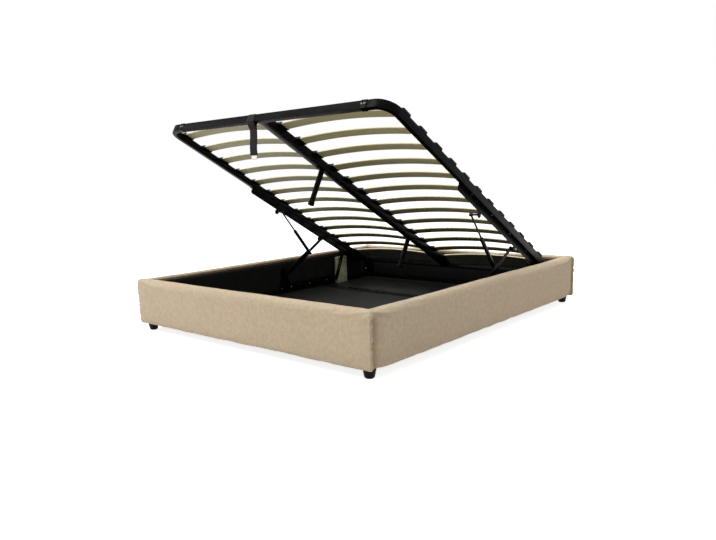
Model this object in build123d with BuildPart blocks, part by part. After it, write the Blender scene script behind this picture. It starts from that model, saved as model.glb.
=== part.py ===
from build123d import *
from math import asin, atan2, cos, degrees, hypot, pi, radians, sin, tan
import os

os.makedirs("parts", exist_ok=True)

# Ottoman storage bed, shown with its slatted lid raised at the foot end.
# X runs across the bed, Y from the foot to the head, Z up from the floor.
# The origin is on the floor under the middle of the bed. Lengths are in millimetres.

# Overall size of the upholstered base
bed_width = 1720
bed_length = 2120
rail_thickness = 60
rail_bottom = 45
rail_top = 300
overrun = 20

# Timber boards inside the rails and the padding over them
board_thickness = 25
padding_over_board = 20
crown_outer_radius = 28
hem_radius = 10
face_bulge = 3
corner_radius = 32
lining_thickness = 2
lining_below_board_top = 4

# Floor of the storage box
ledge_width = 25
ledge_thickness = 2
floor_thickness = 6
panel_clearance = 0.5
seat_gap = 0.3
bearer_place_share = 0.434
bearer_flange_width = 60
bearer_flange_thickness = 2
bearer_web_thickness = 3
bearer_cap_width = 36
bearer_cap_thickness = 2.5

# Feet
foot_inset = 55
foot_top_radius = 32
foot_bottom_radius = 26
centre_foot_radius = 20
centre_foot_tip_radius = 16

# Steel frame of the lid
lid_angle = 28.5
lid_side_clearance = 13
lid_foot_clearance = 37.5
lid_head_clearance = 8.5
lid_sink = 15
head_bar_pull_in = 86.3
head_bar_dip = 75.5
lid_tube_height = 38
lid_tube_width = 25
lid_tube_wall = 1.8
lid_corner_radius = 75
lid_return_length = 35
joint_collar_length = 32
joint_collar_wall = 1.5
centre_rail_width = 50
gusset_reach = 19
gusset_thickness = 3

# Slats and their holders
slat_count = 13
first_slat_reach = 118
last_slat_gap = 91
slat_width = 55
slat_thickness = 8
slat_bow = 22
slat_fit = 0.3
slat_seat_depth = 32
holder_floor = 2
holder_roof = 2.5
holder_wall = 3
holder_overhang = 2
holder_corner_chamfer = 9
centre_holder_bridge = 14

# Support legs under the centre rail
leg_radius = 15
leg_plate_length = 70
leg_plate_thickness = 3
leg_plate_corner = 8
leg_pad_height = 14
leg_pad_radius = 18

# Lift mechanism, seen from the side: reach along the lid from the foot bar, drop below the lid's middle plane
arm_pivot_setback = 535
arm_pivot_drop = 65
link_pivot_behind = 260
link_pivot_drop = 60
strut_pivot_ahead = 460
strut_pivot_drop = 70
arm_run = 339.5
link_base_z = 100
strut_on_arm = 217
web_ahead_of_strut = 259
web_end_setback = 45
web_drop = 57
web_thickness = 3
web_start_radius = 16
web_ear_radius = 17
flange_thickness = 3
flange_bolt_count = 5
bolt_head_radius = 7
bolt_head_height = 4
collar_bolt_spacing = 16

# Planes of the mechanism, measured inwards from the web of the lid's angle
arm_gap = 22
strut_gap = 24
arm_thickness = 5
arm_broad_radius = 18
arm_slim_radius = 12
arm_waist_radius = 10
link_radius = 15
link_slot_width = 9
link_slot_share = 0.36
pivot_radius = 6
pivot_clearance = 0.05
pivot_head_radius = 10
pivot_head_height = 4
spacer_radius = 9
open_pivot_gap = 0.3
stud_radius = 5
stud_collar_radius = 8
stud_head_radius = 8
stud_head_height = 3
stud_nut_radius = 9
stud_nut_height = 6

# Gas struts
strut_cylinder_radius = 11
strut_cylinder_wall = 1.5
strut_end_room = 63
strut_gland_length = 10
strut_gland_chamfer = 2
strut_rod_radius = 5
strut_piston_length = 12
strut_piston_clearance = 0.4
strut_neck_length = 14
strut_eye_radius = 9.5
strut_eye_width = 13

# Base plates of the mechanism and the timber blocks behind them
plate_thickness = 4
plate_bottom = 72
plate_height = 46
plate_front_overhang = 50
plate_rear_overhang = 45
plate_ear_radius = 24
plate_ear_foot = 70
plate_corner_radius = 14
plate_slot_length = 60
plate_slot_width = 14
plate_slot_share = 0.36
screw_head_radius = 7
screw_head_height = 3.5
screw_edge = 16
block_thickness = 26
block_behind_link = 49.6
block_width = 110
block_top = 250
block_chamfer = 3

# Corner brackets
bracket_leg = 55
bracket_thickness = 3
bracket_bottom = 90
bracket_height = 130
bracket_corner_chamfer = 10
bracket_bolt_spacing = 80
bracket_bolt_inset = 32

# Pull strap
strap_width = 54
strap_thickness = 2
strap_centre_x = -68
strap_loop_clearance = 0.6
strap_throat = 62
strap_length = 190
strap_end_radius = 2.4

# Places worked out from the sizes above
half_width = bed_width / 2
half_length = bed_length / 2
inner_x = half_width - rail_thickness
inner_y = half_length - rail_thickness
board_top = rail_top - padding_over_board
lined_x = inner_x - lining_thickness
lined_y = inner_y - lining_thickness
floor_seat = rail_bottom + ledge_thickness
floor_top = floor_seat + floor_thickness
cap_bottom = floor_top + seat_gap
cap_top = cap_bottom + bearer_cap_thickness
bearer_offset = half_length * bearer_place_share
tilt = radians(lid_angle)
half_tube = lid_tube_height / 2
lid_closed_y = lid_foot_clearance + lid_tube_width / 2 - lined_y
lid_closed_z = rail_top - lid_sink
lid_head_bar_reach = lined_y - lid_head_clearance - lid_tube_width / 2 - lid_closed_y
lid_open_y = lid_closed_y + lid_head_bar_reach - head_bar_pull_in - lid_head_bar_reach * cos(tilt)
lid_open_z = lid_closed_z - head_bar_dip + lid_head_bar_reach * sin(tilt)
slat_pitch = (lid_head_bar_reach - last_slat_gap - first_slat_reach) / (slat_count - 1)
arm_pivot_reach = lid_head_bar_reach - arm_pivot_setback
link_pivot_reach = arm_pivot_reach + link_pivot_behind
strut_pivot_reach = arm_pivot_reach - strut_pivot_ahead
web_start_reach = strut_pivot_reach - web_ahead_of_strut
web_end_reach = lid_head_bar_reach - web_end_setback
rail_outer_x = lined_x - lid_side_clearance
rail_inner_x = rail_outer_x - lid_tube_width
rail_middle_x = (rail_outer_x + rail_inner_x) / 2
web_x = rail_inner_x
arm_x = web_x - arm_gap
strut_x = arm_x - strut_gap
eye_inner_x = strut_x - strut_eye_width / 2
eye_outer_x = strut_x + strut_eye_width / 2
plate_x = lined_x - plate_thickness
spacer_x = arm_x + arm_thickness + seat_gap
pin_x = arm_x - seat_gap
across = (1, 0, 0)
sides = (("left", -1), ("right", 1))


def on_lid(foot_y, foot_z, angle, reach, rise):
    """Place of a point of the lid: its reach from the foot bar and its rise from the lid's middle plane."""
    return (
        foot_y + reach * cos(angle) + rise * sin(angle),
        foot_z - reach * sin(angle) + rise * cos(angle),
    )


def open_place(reach, rise):
    return on_lid(lid_open_y, lid_open_z, tilt, reach, rise)


def closed_place(reach, rise):
    return on_lid(lid_closed_y, lid_closed_z, 0, reach, rise)


def halfway(first, second):
    return ((first[0] + second[0]) / 2, (first[1] + second[1]) / 2)


def bearing(start, end):
    return atan2(end[1] - start[1], end[0] - start[0])


def distance(start, end):
    return hypot(end[0] - start[0], end[1] - start[1])


def low_x(side, near, thickness):
    """Lowest X of a slab that starts at near on its side of the bed and grows outwards."""
    return near if side > 0 else -near - thickness


def side_plane(x, place, angle=0.0):
    """Plane square to X through a place seen from the side, with its own x turned up by the angle."""
    return Plane(origin=(x, place[0], place[1]), x_dir=(0, cos(angle), sin(angle)), z_dir=across)


def lid_plane(rise=0.0):
    """Plane along the open lid, with x across, y towards the head, at a rise from the lid's middle plane."""
    place = open_place(0, rise)
    return Plane(origin=(0, place[0], place[1]), x_dir=across, z_dir=(0, sin(tilt), cos(tilt)))


# The lift is a four bar linkage, and each base pivot is as far from its lid pivot when closed as when open.
# It lies on the line from the turning centre of the whole lift through the middle of its lid pivot's travel.
foot_open = open_place(0, 0)
foot_closed = closed_place(0, 0)
foot_travel = distance(foot_closed, foot_open)
centre_distance = foot_travel / (2 * tan(tilt / 2))
travel_middle = halfway(foot_closed, foot_open)
turning_centre = (
    travel_middle[0] + (foot_open[1] - foot_closed[1]) / foot_travel * centre_distance,
    travel_middle[1] - (foot_open[0] - foot_closed[0]) / foot_travel * centre_distance,
)
arm_top_open = open_place(arm_pivot_reach, -arm_pivot_drop)
arm_top_closed = closed_place(arm_pivot_reach, -arm_pivot_drop)
link_top_open = open_place(link_pivot_reach, -link_pivot_drop)
link_top_closed = closed_place(link_pivot_reach, -link_pivot_drop)
strut_top_open = open_place(strut_pivot_reach, -strut_pivot_drop)
strut_top_closed = closed_place(strut_pivot_reach, -strut_pivot_drop)
arm_middle = halfway(arm_top_open, arm_top_closed)
link_middle = halfway(link_top_open, link_top_closed)
arm_base_y = arm_top_open[0] - arm_run
arm_share = (turning_centre[0] - arm_base_y) / (turning_centre[0] - arm_middle[0])
link_share = (turning_centre[1] - link_base_z) / (turning_centre[1] - link_middle[1])
arm_base = (arm_base_y, turning_centre[1] + (arm_middle[1] - turning_centre[1]) * arm_share)
link_base = (turning_centre[0] + (link_middle[0] - turning_centre[0]) * link_share, link_base_z)
arm_length = distance(arm_base, arm_top_open)
link_length = distance(link_base, link_top_open)
arm_angle_open = bearing(arm_base, arm_top_open)
arm_angle_closed = bearing(arm_base, arm_top_closed)
link_angle_open = bearing(link_base, link_top_open)
link_angle_closed = bearing(link_base, link_top_closed)
strut_foot_open = (
    arm_base[0] + strut_on_arm * cos(arm_angle_open),
    arm_base[1] + strut_on_arm * sin(arm_angle_open),
)
strut_foot_closed = (
    arm_base[0] + strut_on_arm * cos(arm_angle_closed),
    arm_base[1] + strut_on_arm * sin(arm_angle_closed),
)
strut_length_open = distance(strut_foot_open, strut_top_open)
strut_length_closed = distance(strut_foot_closed, strut_top_closed)
strut_cylinder_top = strut_length_closed - strut_end_room
strut_angle_open = bearing(strut_foot_open, strut_top_open)
strut_angle_closed = bearing(strut_foot_closed, strut_top_closed)
leg_reaches = (-bearer_offset - lid_closed_y, bearer_offset - lid_closed_y)
leg_drop = lid_closed_z - cap_top - seat_gap

print("lid bar open", foot_open, "closed", foot_closed)
print("arm pivot on the base", arm_base, "on the lid", arm_top_open, "length", arm_length)
print("link pivot on the base", link_base, "on the lid", link_top_open, "length", link_length)
print("strut on the lid", strut_top_open, "on the arm", strut_foot_open)
print("strut open", strut_length_open, "closed", strut_length_closed)
print("arm degrees", degrees(arm_angle_open), "to", degrees(arm_angle_closed))
print("link degrees", degrees(link_angle_open), "to", degrees(link_angle_closed))
print("strut degrees", degrees(strut_angle_open), "to", degrees(strut_angle_closed))
print("turning centre", turning_centre, "leg drop", leg_drop, "leg reaches", leg_reaches)


# Rail boards: plain timber, the foot and head boards running over the ends of the side boards
board_long_half = inner_x + board_thickness
boards = {
    "foot_rail_board": ((0, -inner_y - board_thickness / 2), (2 * board_long_half, board_thickness)),
    "head_rail_board": ((0, inner_y + board_thickness / 2), (2 * board_long_half, board_thickness)),
    "left_rail_board": ((-inner_x - board_thickness / 2, 0), (board_thickness, 2 * inner_y)),
    "right_rail_board": ((inner_x + board_thickness / 2, 0), (board_thickness, 2 * inner_y)),
}
for board_name, (board_centre, board_size) in boards.items():
    with BuildPart() as board:
        with BuildSketch(Plane.XY.offset(rail_bottom)):
            with Locations(board_centre):
                Rectangle(*board_size)
        extrude(amount=board_top - rail_bottom)
    board.part.label = board_name
    export_step(board.part, f"parts/{board_name}.step")


# Rail covers: padded fabric over the outer face and the top of each board, mitred at the corners
covers = {
    "foot_rail_cover": ((0, -1), inner_y, half_width),
    "head_rail_cover": ((0, 1), inner_y, half_width),
    "left_rail_cover": ((-1, 0), inner_x, half_length),
    "right_rail_cover": ((1, 0), inner_x, half_length),
}
for cover_name, (outward, inner_half, end_half) in covers.items():
    out_x, out_y = outward
    along = (out_y, -out_x)
    start = (out_x * inner_half - along[0] * end_half, out_y * inner_half - along[1] * end_half)
    section = Plane(origin=(*start, 0), x_dir=(out_x, out_y, 0), z_dir=(*along, 0))
    skirt = rail_thickness - face_bulge
    middle_height = (rail_bottom + rail_top) / 2
    inner_end = end_half - rail_thickness
    mitre_points = [
        (out_x * inner_half + along[0] * inner_end, out_y * inner_half + along[1] * inner_end),
        (out_x * inner_half - along[0] * inner_end, out_y * inner_half - along[1] * inner_end),
        (
            out_x * (inner_half + rail_thickness) - along[0] * end_half,
            out_y * (inner_half + rail_thickness) - along[1] * end_half,
        ),
        (
            out_x * (inner_half + rail_thickness) + along[0] * end_half,
            out_y * (inner_half + rail_thickness) + along[1] * end_half,
        ),
    ]
    with BuildPart() as cover:
        with BuildSketch(section):
            with BuildLine():
                Line((board_thickness, rail_bottom), (skirt - hem_radius, rail_bottom))
                RadiusArc(
                    (skirt - hem_radius, rail_bottom), (skirt, rail_bottom + hem_radius), -hem_radius
                )
                ThreePointArc(
                    (skirt, rail_bottom + hem_radius),
                    (rail_thickness, middle_height),
                    (skirt, rail_top - crown_outer_radius),
                )
                RadiusArc(
                    (skirt, rail_top - crown_outer_radius),
                    (skirt - crown_outer_radius, rail_top),
                    -crown_outer_radius,
                )
                Line((skirt - crown_outer_radius, rail_top), (padding_over_board, rail_top))
                RadiusArc((padding_over_board, rail_top), (0, board_top), -padding_over_board)
                Line((0, board_top), (board_thickness, board_top))
                Line((board_thickness, board_top), (board_thickness, rail_bottom))
            make_face()
        extrude(amount=2 * end_half)
        with BuildSketch(Plane.XY):
            Polygon(*mitre_points, align=None)
            RectangleRounded(bed_width, bed_length, corner_radius, mode=Mode.INTERSECT)
        extrude(amount=rail_top + overrun, mode=Mode.INTERSECT)
    cover.part.label = cover_name
    export_step(cover.part, f"parts/{cover_name}.step")


# Storage lining: thin black sheets on the inner faces of the four boards
lining_bottom = rail_bottom + ledge_width
lining_height = board_top - lining_below_board_top - lining_bottom
with BuildPart() as storage_lining:
    with BuildSketch(Plane.XY.offset(lining_bottom)):
        with Locations((0, -inner_y + lining_thickness / 2), (0, inner_y - lining_thickness / 2)):
            Rectangle(2 * inner_x, lining_thickness)
        with Locations((-inner_x + lining_thickness / 2, 0), (inner_x - lining_thickness / 2, 0)):
            Rectangle(lining_thickness, 2 * lined_y)
    extrude(amount=lining_height)
storage_lining.part.label = "storage_lining"
export_step(storage_lining.part, "parts/storage_lining.step")


# Floor ledges: steel angles round the foot of the boards, as four lengths butted at the corners
with BuildPart() as floor_ledges:
    with BuildSketch(Plane.XY.offset(rail_bottom)):
        with Locations((0, -inner_y + ledge_width / 2), (0, inner_y - ledge_width / 2)):
            Rectangle(2 * inner_x, ledge_width)
        with Locations((-inner_x + ledge_width / 2, 0), (inner_x - ledge_width / 2, 0)):
            Rectangle(ledge_width, 2 * (inner_y - ledge_width - seat_gap))
    extrude(amount=ledge_thickness)
    with BuildSketch(Plane.XY.offset(floor_seat)):
        with Locations((0, -inner_y + lining_thickness / 2), (0, inner_y - lining_thickness / 2)):
            Rectangle(2 * inner_x, lining_thickness)
        with Locations((-inner_x + lining_thickness / 2, 0), (inner_x - lining_thickness / 2, 0)):
            Rectangle(lining_thickness, 2 * (inner_y - ledge_width - seat_gap))
    extrude(amount=lining_bottom - floor_seat)
floor_ledges.part.label = "floor_ledges"
export_step(floor_ledges.part, "parts/floor_ledges.step")


# Floor bearers: steel sections across the box that carry the floor panels and cap the seam between them
bearer_half = lined_x - panel_clearance
flange_half = inner_x - ledge_width - seat_gap
for bearer_name, bearer_y in (("front_floor_bearer", -bearer_offset), ("rear_floor_bearer", bearer_offset)):
    with BuildPart() as bearer:
        with BuildSketch(Plane.XY.offset(rail_bottom)):
            with Locations((0, bearer_y)):
                Rectangle(2 * flange_half, bearer_flange_width)
        extrude(amount=bearer_flange_thickness)
        with BuildSketch(Plane.XY.offset(floor_seat)):
            with Locations((0, bearer_y)):
                Rectangle(2 * bearer_half, bearer_web_thickness)
        extrude(amount=cap_bottom - floor_seat)
        with BuildSketch(Plane.XY.offset(cap_bottom)):
            with Locations((0, bearer_y)):
                Rectangle(2 * bearer_half, bearer_cap_width)
        extrude(amount=bearer_cap_thickness)
        chamfer(bearer.edges().group_by(Axis.Z)[-1].filter_by(Axis.X), bearer_cap_thickness / 2)
    bearer.part.label = bearer_name
    export_step(bearer.part, f"parts/{bearer_name}.step")


# Floor panels: three black faced boards lying on the ledges and the bearers
panel_half = lined_x - panel_clearance
panel_end = lined_y - panel_clearance
web_side = bearer_web_thickness / 2 + panel_clearance
panels = {
    "front_floor_panel": (-panel_end, -bearer_offset - web_side),
    "middle_floor_panel": (-bearer_offset + web_side, bearer_offset - web_side),
    "rear_floor_panel": (bearer_offset + web_side, panel_end),
}
for panel_name, (panel_start, panel_stop) in panels.items():
    with BuildPart() as panel:
        with BuildSketch(Plane.XY.offset(floor_seat)):
            with Locations((0, (panel_start + panel_stop) / 2)):
                Rectangle(2 * panel_half, panel_stop - panel_start)
        extrude(amount=floor_thickness)
    panel.part.label = panel_name
    export_step(panel.part, f"parts/{panel_name}.step")


# Corner feet: tapered round feet under the ends of the boards, one group of four
foot_x = half_width - foot_inset
foot_y = half_length - foot_inset
with BuildPart() as corner_feet:
    for sign_x in (-1, 1):
        for sign_y in (-1, 1):
            foot_centre = (sign_x * foot_x, sign_y * foot_y, 0)
            with BuildSketch(Plane(origin=foot_centre, x_dir=across, z_dir=(0, -1, 0))):
                with BuildLine():
                    Polyline(
                        (0, 0),
                        (foot_bottom_radius, 0),
                        (foot_top_radius, rail_bottom),
                        (0, rail_bottom),
                        close=True,
                    )
                make_face()
            revolve(axis=Axis(foot_centre, (0, 0, 1)))
corner_feet.part.label = "corner_feet"
export_step(corner_feet.part, "parts/corner_feet.step")


# Centre feet: one under the middle of each floor bearer, square and tapered
with BuildPart() as centre_feet:
    for centre_foot_y in (-bearer_offset, bearer_offset):
        with BuildSketch(Plane.XY) as tip:
            with Locations((0, centre_foot_y)):
                Rectangle(2 * centre_foot_tip_radius, 2 * centre_foot_tip_radius)
        with BuildSketch(Plane.XY.offset(rail_bottom)) as top:
            with Locations((0, centre_foot_y)):
                Rectangle(2 * centre_foot_radius, 2 * centre_foot_radius)
        loft(sections=[tip.sketch, top.sketch], ruled=True)
centre_feet.part.label = "centre_feet"
export_step(centre_feet.part, "parts/centre_feet.step")


# Corner brackets: bent steel plates that tie the boards inside each corner
bracket_bolts = [(bracket_bolt_inset, bracket_bottom + bracket_height / 2 + step * bracket_bolt_spacing / 2)
                 for step in (-1, 1)]
with BuildPart() as corner_brackets:
    for sign_x in (-1, 1):
        for sign_y in (-1, 1):
            corner_x = sign_x * lined_x
            corner_y = sign_y * lined_y
            with BuildSketch(Plane.XY.offset(bracket_bottom)):
                for reach_x, reach_y in ((bracket_leg, bracket_thickness), (bracket_thickness, bracket_leg)):
                    with Locations((corner_x - sign_x * reach_x / 2, corner_y - sign_y * reach_y / 2)):
                        Rectangle(reach_x, reach_y)
            extrude(amount=bracket_height)
    end_edges = corner_brackets.edges().filter_by(
        lambda edge: abs(edge.length - bracket_thickness) < seat_gap
    )
    chamfer(end_edges, bracket_corner_chamfer)
corner_brackets.part.label = "corner_brackets"
export_step(corner_brackets.part, "parts/corner_brackets.step")


# Mechanism blocks: bare timber blocks screwed inside the side rails behind the rear links
block_front = link_base[0] + block_behind_link
for side_name, side in sides:
    with BuildPart() as block:
        with BuildSketch(Plane.XY.offset(floor_top)):
            with Locations((side * (lined_x - block_thickness / 2), block_front + block_width / 2)):
                Rectangle(block_thickness, block_width)
        extrude(amount=block_top - floor_top)
        chamfer(block.edges().group_by(Axis.Z)[-1], block_chamfer)
    block.part.label = f"{side_name}_mechanism_block"
    export_step(block.part, f"parts/{block.part.label}.step")


# Base plates: steel plates on the side rails with the fixed pivots of the arm and of the rear link
plate_start = arm_base[0] - plate_front_overhang
plate_end = link_base[0] + plate_rear_overhang
plate_top = plate_bottom + plate_height
plate_length = plate_end - plate_start
screw_shares = (0.04, 0.2, 0.52, 0.84)
plate_screws = [(plate_start + plate_length * share, plate_bottom + screw_edge) for share in screw_shares]
plate_slots = [plate_start + plate_length * share for share in (plate_slot_share, 1 - plate_slot_share)]
for side_name, side in sides:
    plate_low = low_x(side, plate_x, plate_thickness)
    with BuildPart() as base_plate:
        with BuildSketch(Plane.YZ.offset(plate_low)) as plate_outline:
            with Locations(((plate_start + plate_end) / 2, plate_bottom + plate_height / 2)):
                RectangleRounded(plate_length, plate_height, plate_corner_radius)
            with BuildLine():
                Polyline(
                    (arm_base[0] - plate_ear_radius, arm_base[1]),
                    (arm_base[0] + plate_ear_radius, arm_base[1]),
                    (arm_base[0] + plate_ear_foot, plate_bottom + plate_corner_radius),
                    (plate_start + plate_corner_radius, plate_bottom + plate_corner_radius),
                    close=True,
                )
            make_face()
            with Locations(arm_base):
                Circle(plate_ear_radius)
            with Locations(*[(slot_y, plate_top - plate_slot_width) for slot_y in plate_slots]):
                SlotOverall(plate_slot_length, plate_slot_width, mode=Mode.SUBTRACT)
        extrude(amount=plate_thickness)
        for pivot in (arm_base, link_base):
            with BuildSketch(Plane.YZ.offset(low_x(side, spacer_x, plate_x - spacer_x))):
                with Locations(pivot):
                    Circle(spacer_radius)
            extrude(amount=plate_x - spacer_x)
            with BuildSketch(Plane.YZ.offset(low_x(side, pin_x, spacer_x - pin_x))):
                with Locations(pivot):
                    Circle(pivot_radius)
            extrude(amount=spacer_x - pin_x)
            with BuildSketch(Plane.YZ.offset(low_x(side, pin_x - pivot_head_height, pivot_head_height))):
                with Locations(pivot):
                    RegularPolygon(pivot_head_radius, 6)
            extrude(amount=pivot_head_height)
    base_plate.part.label = f"{side_name}_base_plate"
    export_step(base_plate.part, f"parts/{base_plate.part.label}.step")


# Frame screws: hexagon heads of the screws of the corner brackets and of the base plates, as one group
bracket_face = lined_x - bracket_thickness
with BuildPart() as frame_screws:
    for sign_x in (-1, 1):
        with BuildSketch(Plane.YZ.offset(low_x(sign_x, plate_x - screw_head_height, screw_head_height))):
            with Locations(*plate_screws):
                RegularPolygon(screw_head_radius, 6)
        extrude(amount=screw_head_height)
        with BuildSketch(Plane.YZ.offset(low_x(sign_x, bracket_face - screw_head_height, screw_head_height))):
            with Locations(*[(sign_y * (lined_y - inset), height)
                             for sign_y in (-1, 1) for inset, height in bracket_bolts]):
                RegularPolygon(screw_head_radius, 6)
        extrude(amount=screw_head_height)
frame_screws.part.label = "frame_screws"
export_step(frame_screws.part, "parts/frame_screws.step")


# Lift arms: flat steel bars, broad up to the gas strut and slim from there to the lid
collar_start_x = eye_outer_x + seat_gap
head_end_x = eye_inner_x - seat_gap
for side_name, side in sides:
    with BuildPart() as lift_arm:
        with BuildSketch(side_plane(low_x(side, arm_x, arm_thickness), arm_base, arm_angle_open)):
            Circle(arm_broad_radius)
            with Locations((strut_on_arm, 0)):
                Circle(arm_broad_radius)
            with Locations((strut_on_arm / 2, 0)):
                Rectangle(strut_on_arm, 2 * arm_broad_radius)
            with Locations((arm_length, 0)):
                Circle(arm_slim_radius)
            with BuildLine():
                Polyline(
                    (strut_on_arm, arm_waist_radius),
                    (arm_length, arm_waist_radius),
                    (arm_length, -arm_waist_radius),
                    (strut_on_arm, -arm_waist_radius),
                    close=True,
                )
            make_face()
            with Locations((0, 0), (arm_length, 0)):
                Circle(pivot_radius + pivot_clearance, mode=Mode.SUBTRACT)
        extrude(amount=arm_thickness)
        with BuildSketch(Plane.YZ.offset(low_x(side, collar_start_x, arm_x - collar_start_x))):
            with Locations(strut_foot_open):
                Circle(stud_collar_radius)
        extrude(amount=arm_x - collar_start_x)
        with BuildSketch(Plane.YZ.offset(low_x(side, head_end_x, collar_start_x - head_end_x))):
            with Locations(strut_foot_open):
                Circle(stud_radius)
        extrude(amount=collar_start_x - head_end_x)
        with BuildSketch(Plane.YZ.offset(low_x(side, head_end_x - stud_head_height, stud_head_height))):
            with Locations(strut_foot_open):
                RegularPolygon(stud_head_radius, 6)
        extrude(amount=stud_head_height)
    lift_arm.part.label = f"{side_name}_lift_arm"
    export_step(lift_arm.part, f"parts/{lift_arm.part.label}.step")


# Rear links: short flat bars with a lightening slot, each with the bolt that meets the lid's ear
link_bolt_reach = web_x - open_pivot_gap - arm_x - arm_thickness
for side_name, side in sides:
    with BuildPart() as rear_link:
        with BuildSketch(side_plane(low_x(side, arm_x, arm_thickness), link_base, link_angle_open)):
            with Locations((link_length / 2, 0)):
                SlotCenterToCenter(link_length, 2 * link_radius)
                SlotOverall(link_length * link_slot_share, link_slot_width, mode=Mode.SUBTRACT)
            Circle(pivot_radius + pivot_clearance, mode=Mode.SUBTRACT)
        extrude(amount=arm_thickness)
        with BuildSketch(Plane.YZ.offset(low_x(side, arm_x + arm_thickness, link_bolt_reach))):
            with Locations(link_top_open):
                Circle(spacer_radius)
        extrude(amount=link_bolt_reach)
        with BuildSketch(Plane.YZ.offset(low_x(side, arm_x - pivot_head_height, pivot_head_height))):
            with Locations(link_top_open):
                RegularPolygon(pivot_head_radius, 6)
        extrude(amount=pivot_head_height)
    rear_link.part.label = f"{side_name}_rear_link"
    export_step(rear_link.part, f"parts/{rear_link.part.label}.step")


# Lid side rails: rectangular steel tube bent round the foot corner, with a short return along the foot
side_rail_end = lid_head_bar_reach + lid_tube_width / 2
bend_x = rail_middle_x - lid_corner_radius
return_x = bend_x - lid_return_length
tube_bore_height = lid_tube_height - 2 * lid_tube_wall
for side_name, side in sides:
    with BuildPart() as side_rail:
        for band, height, way in (
            (lid_tube_width, lid_tube_height, Mode.ADD),
            (lid_tube_width - 2 * lid_tube_wall, tube_bore_height, Mode.SUBTRACT),
        ):
            with BuildSketch(lid_plane(-height / 2)):
                with BuildLine():
                    Line((side * rail_middle_x, side_rail_end), (side * rail_middle_x, lid_corner_radius))
                    RadiusArc(
                        (side * rail_middle_x, lid_corner_radius),
                        (side * bend_x, 0),
                        side * lid_corner_radius,
                    )
                    Line((side * bend_x, 0), (side * return_x, 0))
                trace(line_width=band)
            extrude(amount=height, mode=way)
    side_rail.part.label = f"lid_{side_name}_rail"
    export_step(side_rail.part, f"parts/{side_rail.part.label}.step")


# Lid foot bar: straight tube between the two bent rails, with a collar over each joint
with BuildPart() as foot_bar:
    for length, width, height, way in (
        (2 * return_x, lid_tube_width, lid_tube_height, Mode.ADD),
        (
            2 * return_x,
            lid_tube_width - 2 * lid_tube_wall,
            tube_bore_height,
            Mode.SUBTRACT,
        ),
    ):
        with BuildSketch(lid_plane(-height / 2)):
            Rectangle(length, width)
        extrude(amount=height, mode=way)
    collar_x = return_x - joint_collar_length / 2
    collar_height = lid_tube_height + 2 * joint_collar_wall
    for height, width, way in (
        (collar_height, lid_tube_width + 2 * joint_collar_wall, Mode.ADD),
        (tube_bore_height, lid_tube_width - 2 * lid_tube_wall, Mode.SUBTRACT),
    ):
        with BuildSketch(lid_plane(-height / 2)):
            with Locations((-collar_x, 0), (collar_x, 0)):
                Rectangle(joint_collar_length, width)
        extrude(amount=height, mode=way)
foot_bar.part.label = "lid_foot_bar"
export_step(foot_bar.part, "parts/lid_foot_bar.step")


# Lid head bar: straight tube between the ends of the side rails
with BuildPart() as head_bar:
    for width, height, way in (
        (lid_tube_width, lid_tube_height, Mode.ADD),
        (lid_tube_width - 2 * lid_tube_wall, tube_bore_height, Mode.SUBTRACT),
    ):
        with BuildSketch(lid_plane(-height / 2)):
            with Locations((0, lid_head_bar_reach)):
                Rectangle(2 * rail_inner_x, width)
        extrude(amount=height, mode=way)
head_bar.part.label = "lid_head_bar"
export_step(head_bar.part, "parts/lid_head_bar.step")


# Lid centre rail: tube from the foot bar to the head bar, with a small curved gusset on each side at the foot
centre_rail_start = lid_tube_width / 2
centre_rail_end = lid_head_bar_reach - lid_tube_width / 2
centre_rail_length = centre_rail_end - centre_rail_start
with BuildPart() as centre_rail:
    for width, height, way in (
        (centre_rail_width, lid_tube_height, Mode.ADD),
        (centre_rail_width - 2 * lid_tube_wall, tube_bore_height, Mode.SUBTRACT),
    ):
        with BuildSketch(lid_plane(-height / 2)):
            with Locations((0, (centre_rail_start + centre_rail_end) / 2)):
                Rectangle(width, centre_rail_length)
        extrude(amount=height, mode=way)
    for side in (-1, 1):
        gusset_root = side * centre_rail_width / 2
        gusset_tip = side * (centre_rail_width / 2 + gusset_reach)
        with BuildSketch(lid_plane(-half_tube)):
            with BuildLine():
                Line((gusset_root, centre_rail_start), (gusset_tip, centre_rail_start))
                RadiusArc(
                    (gusset_tip, centre_rail_start),
                    (gusset_root, centre_rail_start + gusset_reach),
                    side * gusset_reach,
                )
                Line((gusset_root, centre_rail_start + gusset_reach), (gusset_root, centre_rail_start))
            make_face()
        extrude(amount=gusset_thickness)
centre_rail.part.label = "lid_centre_rail"
export_step(centre_rail.part, "parts/lid_centre_rail.step")


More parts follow.
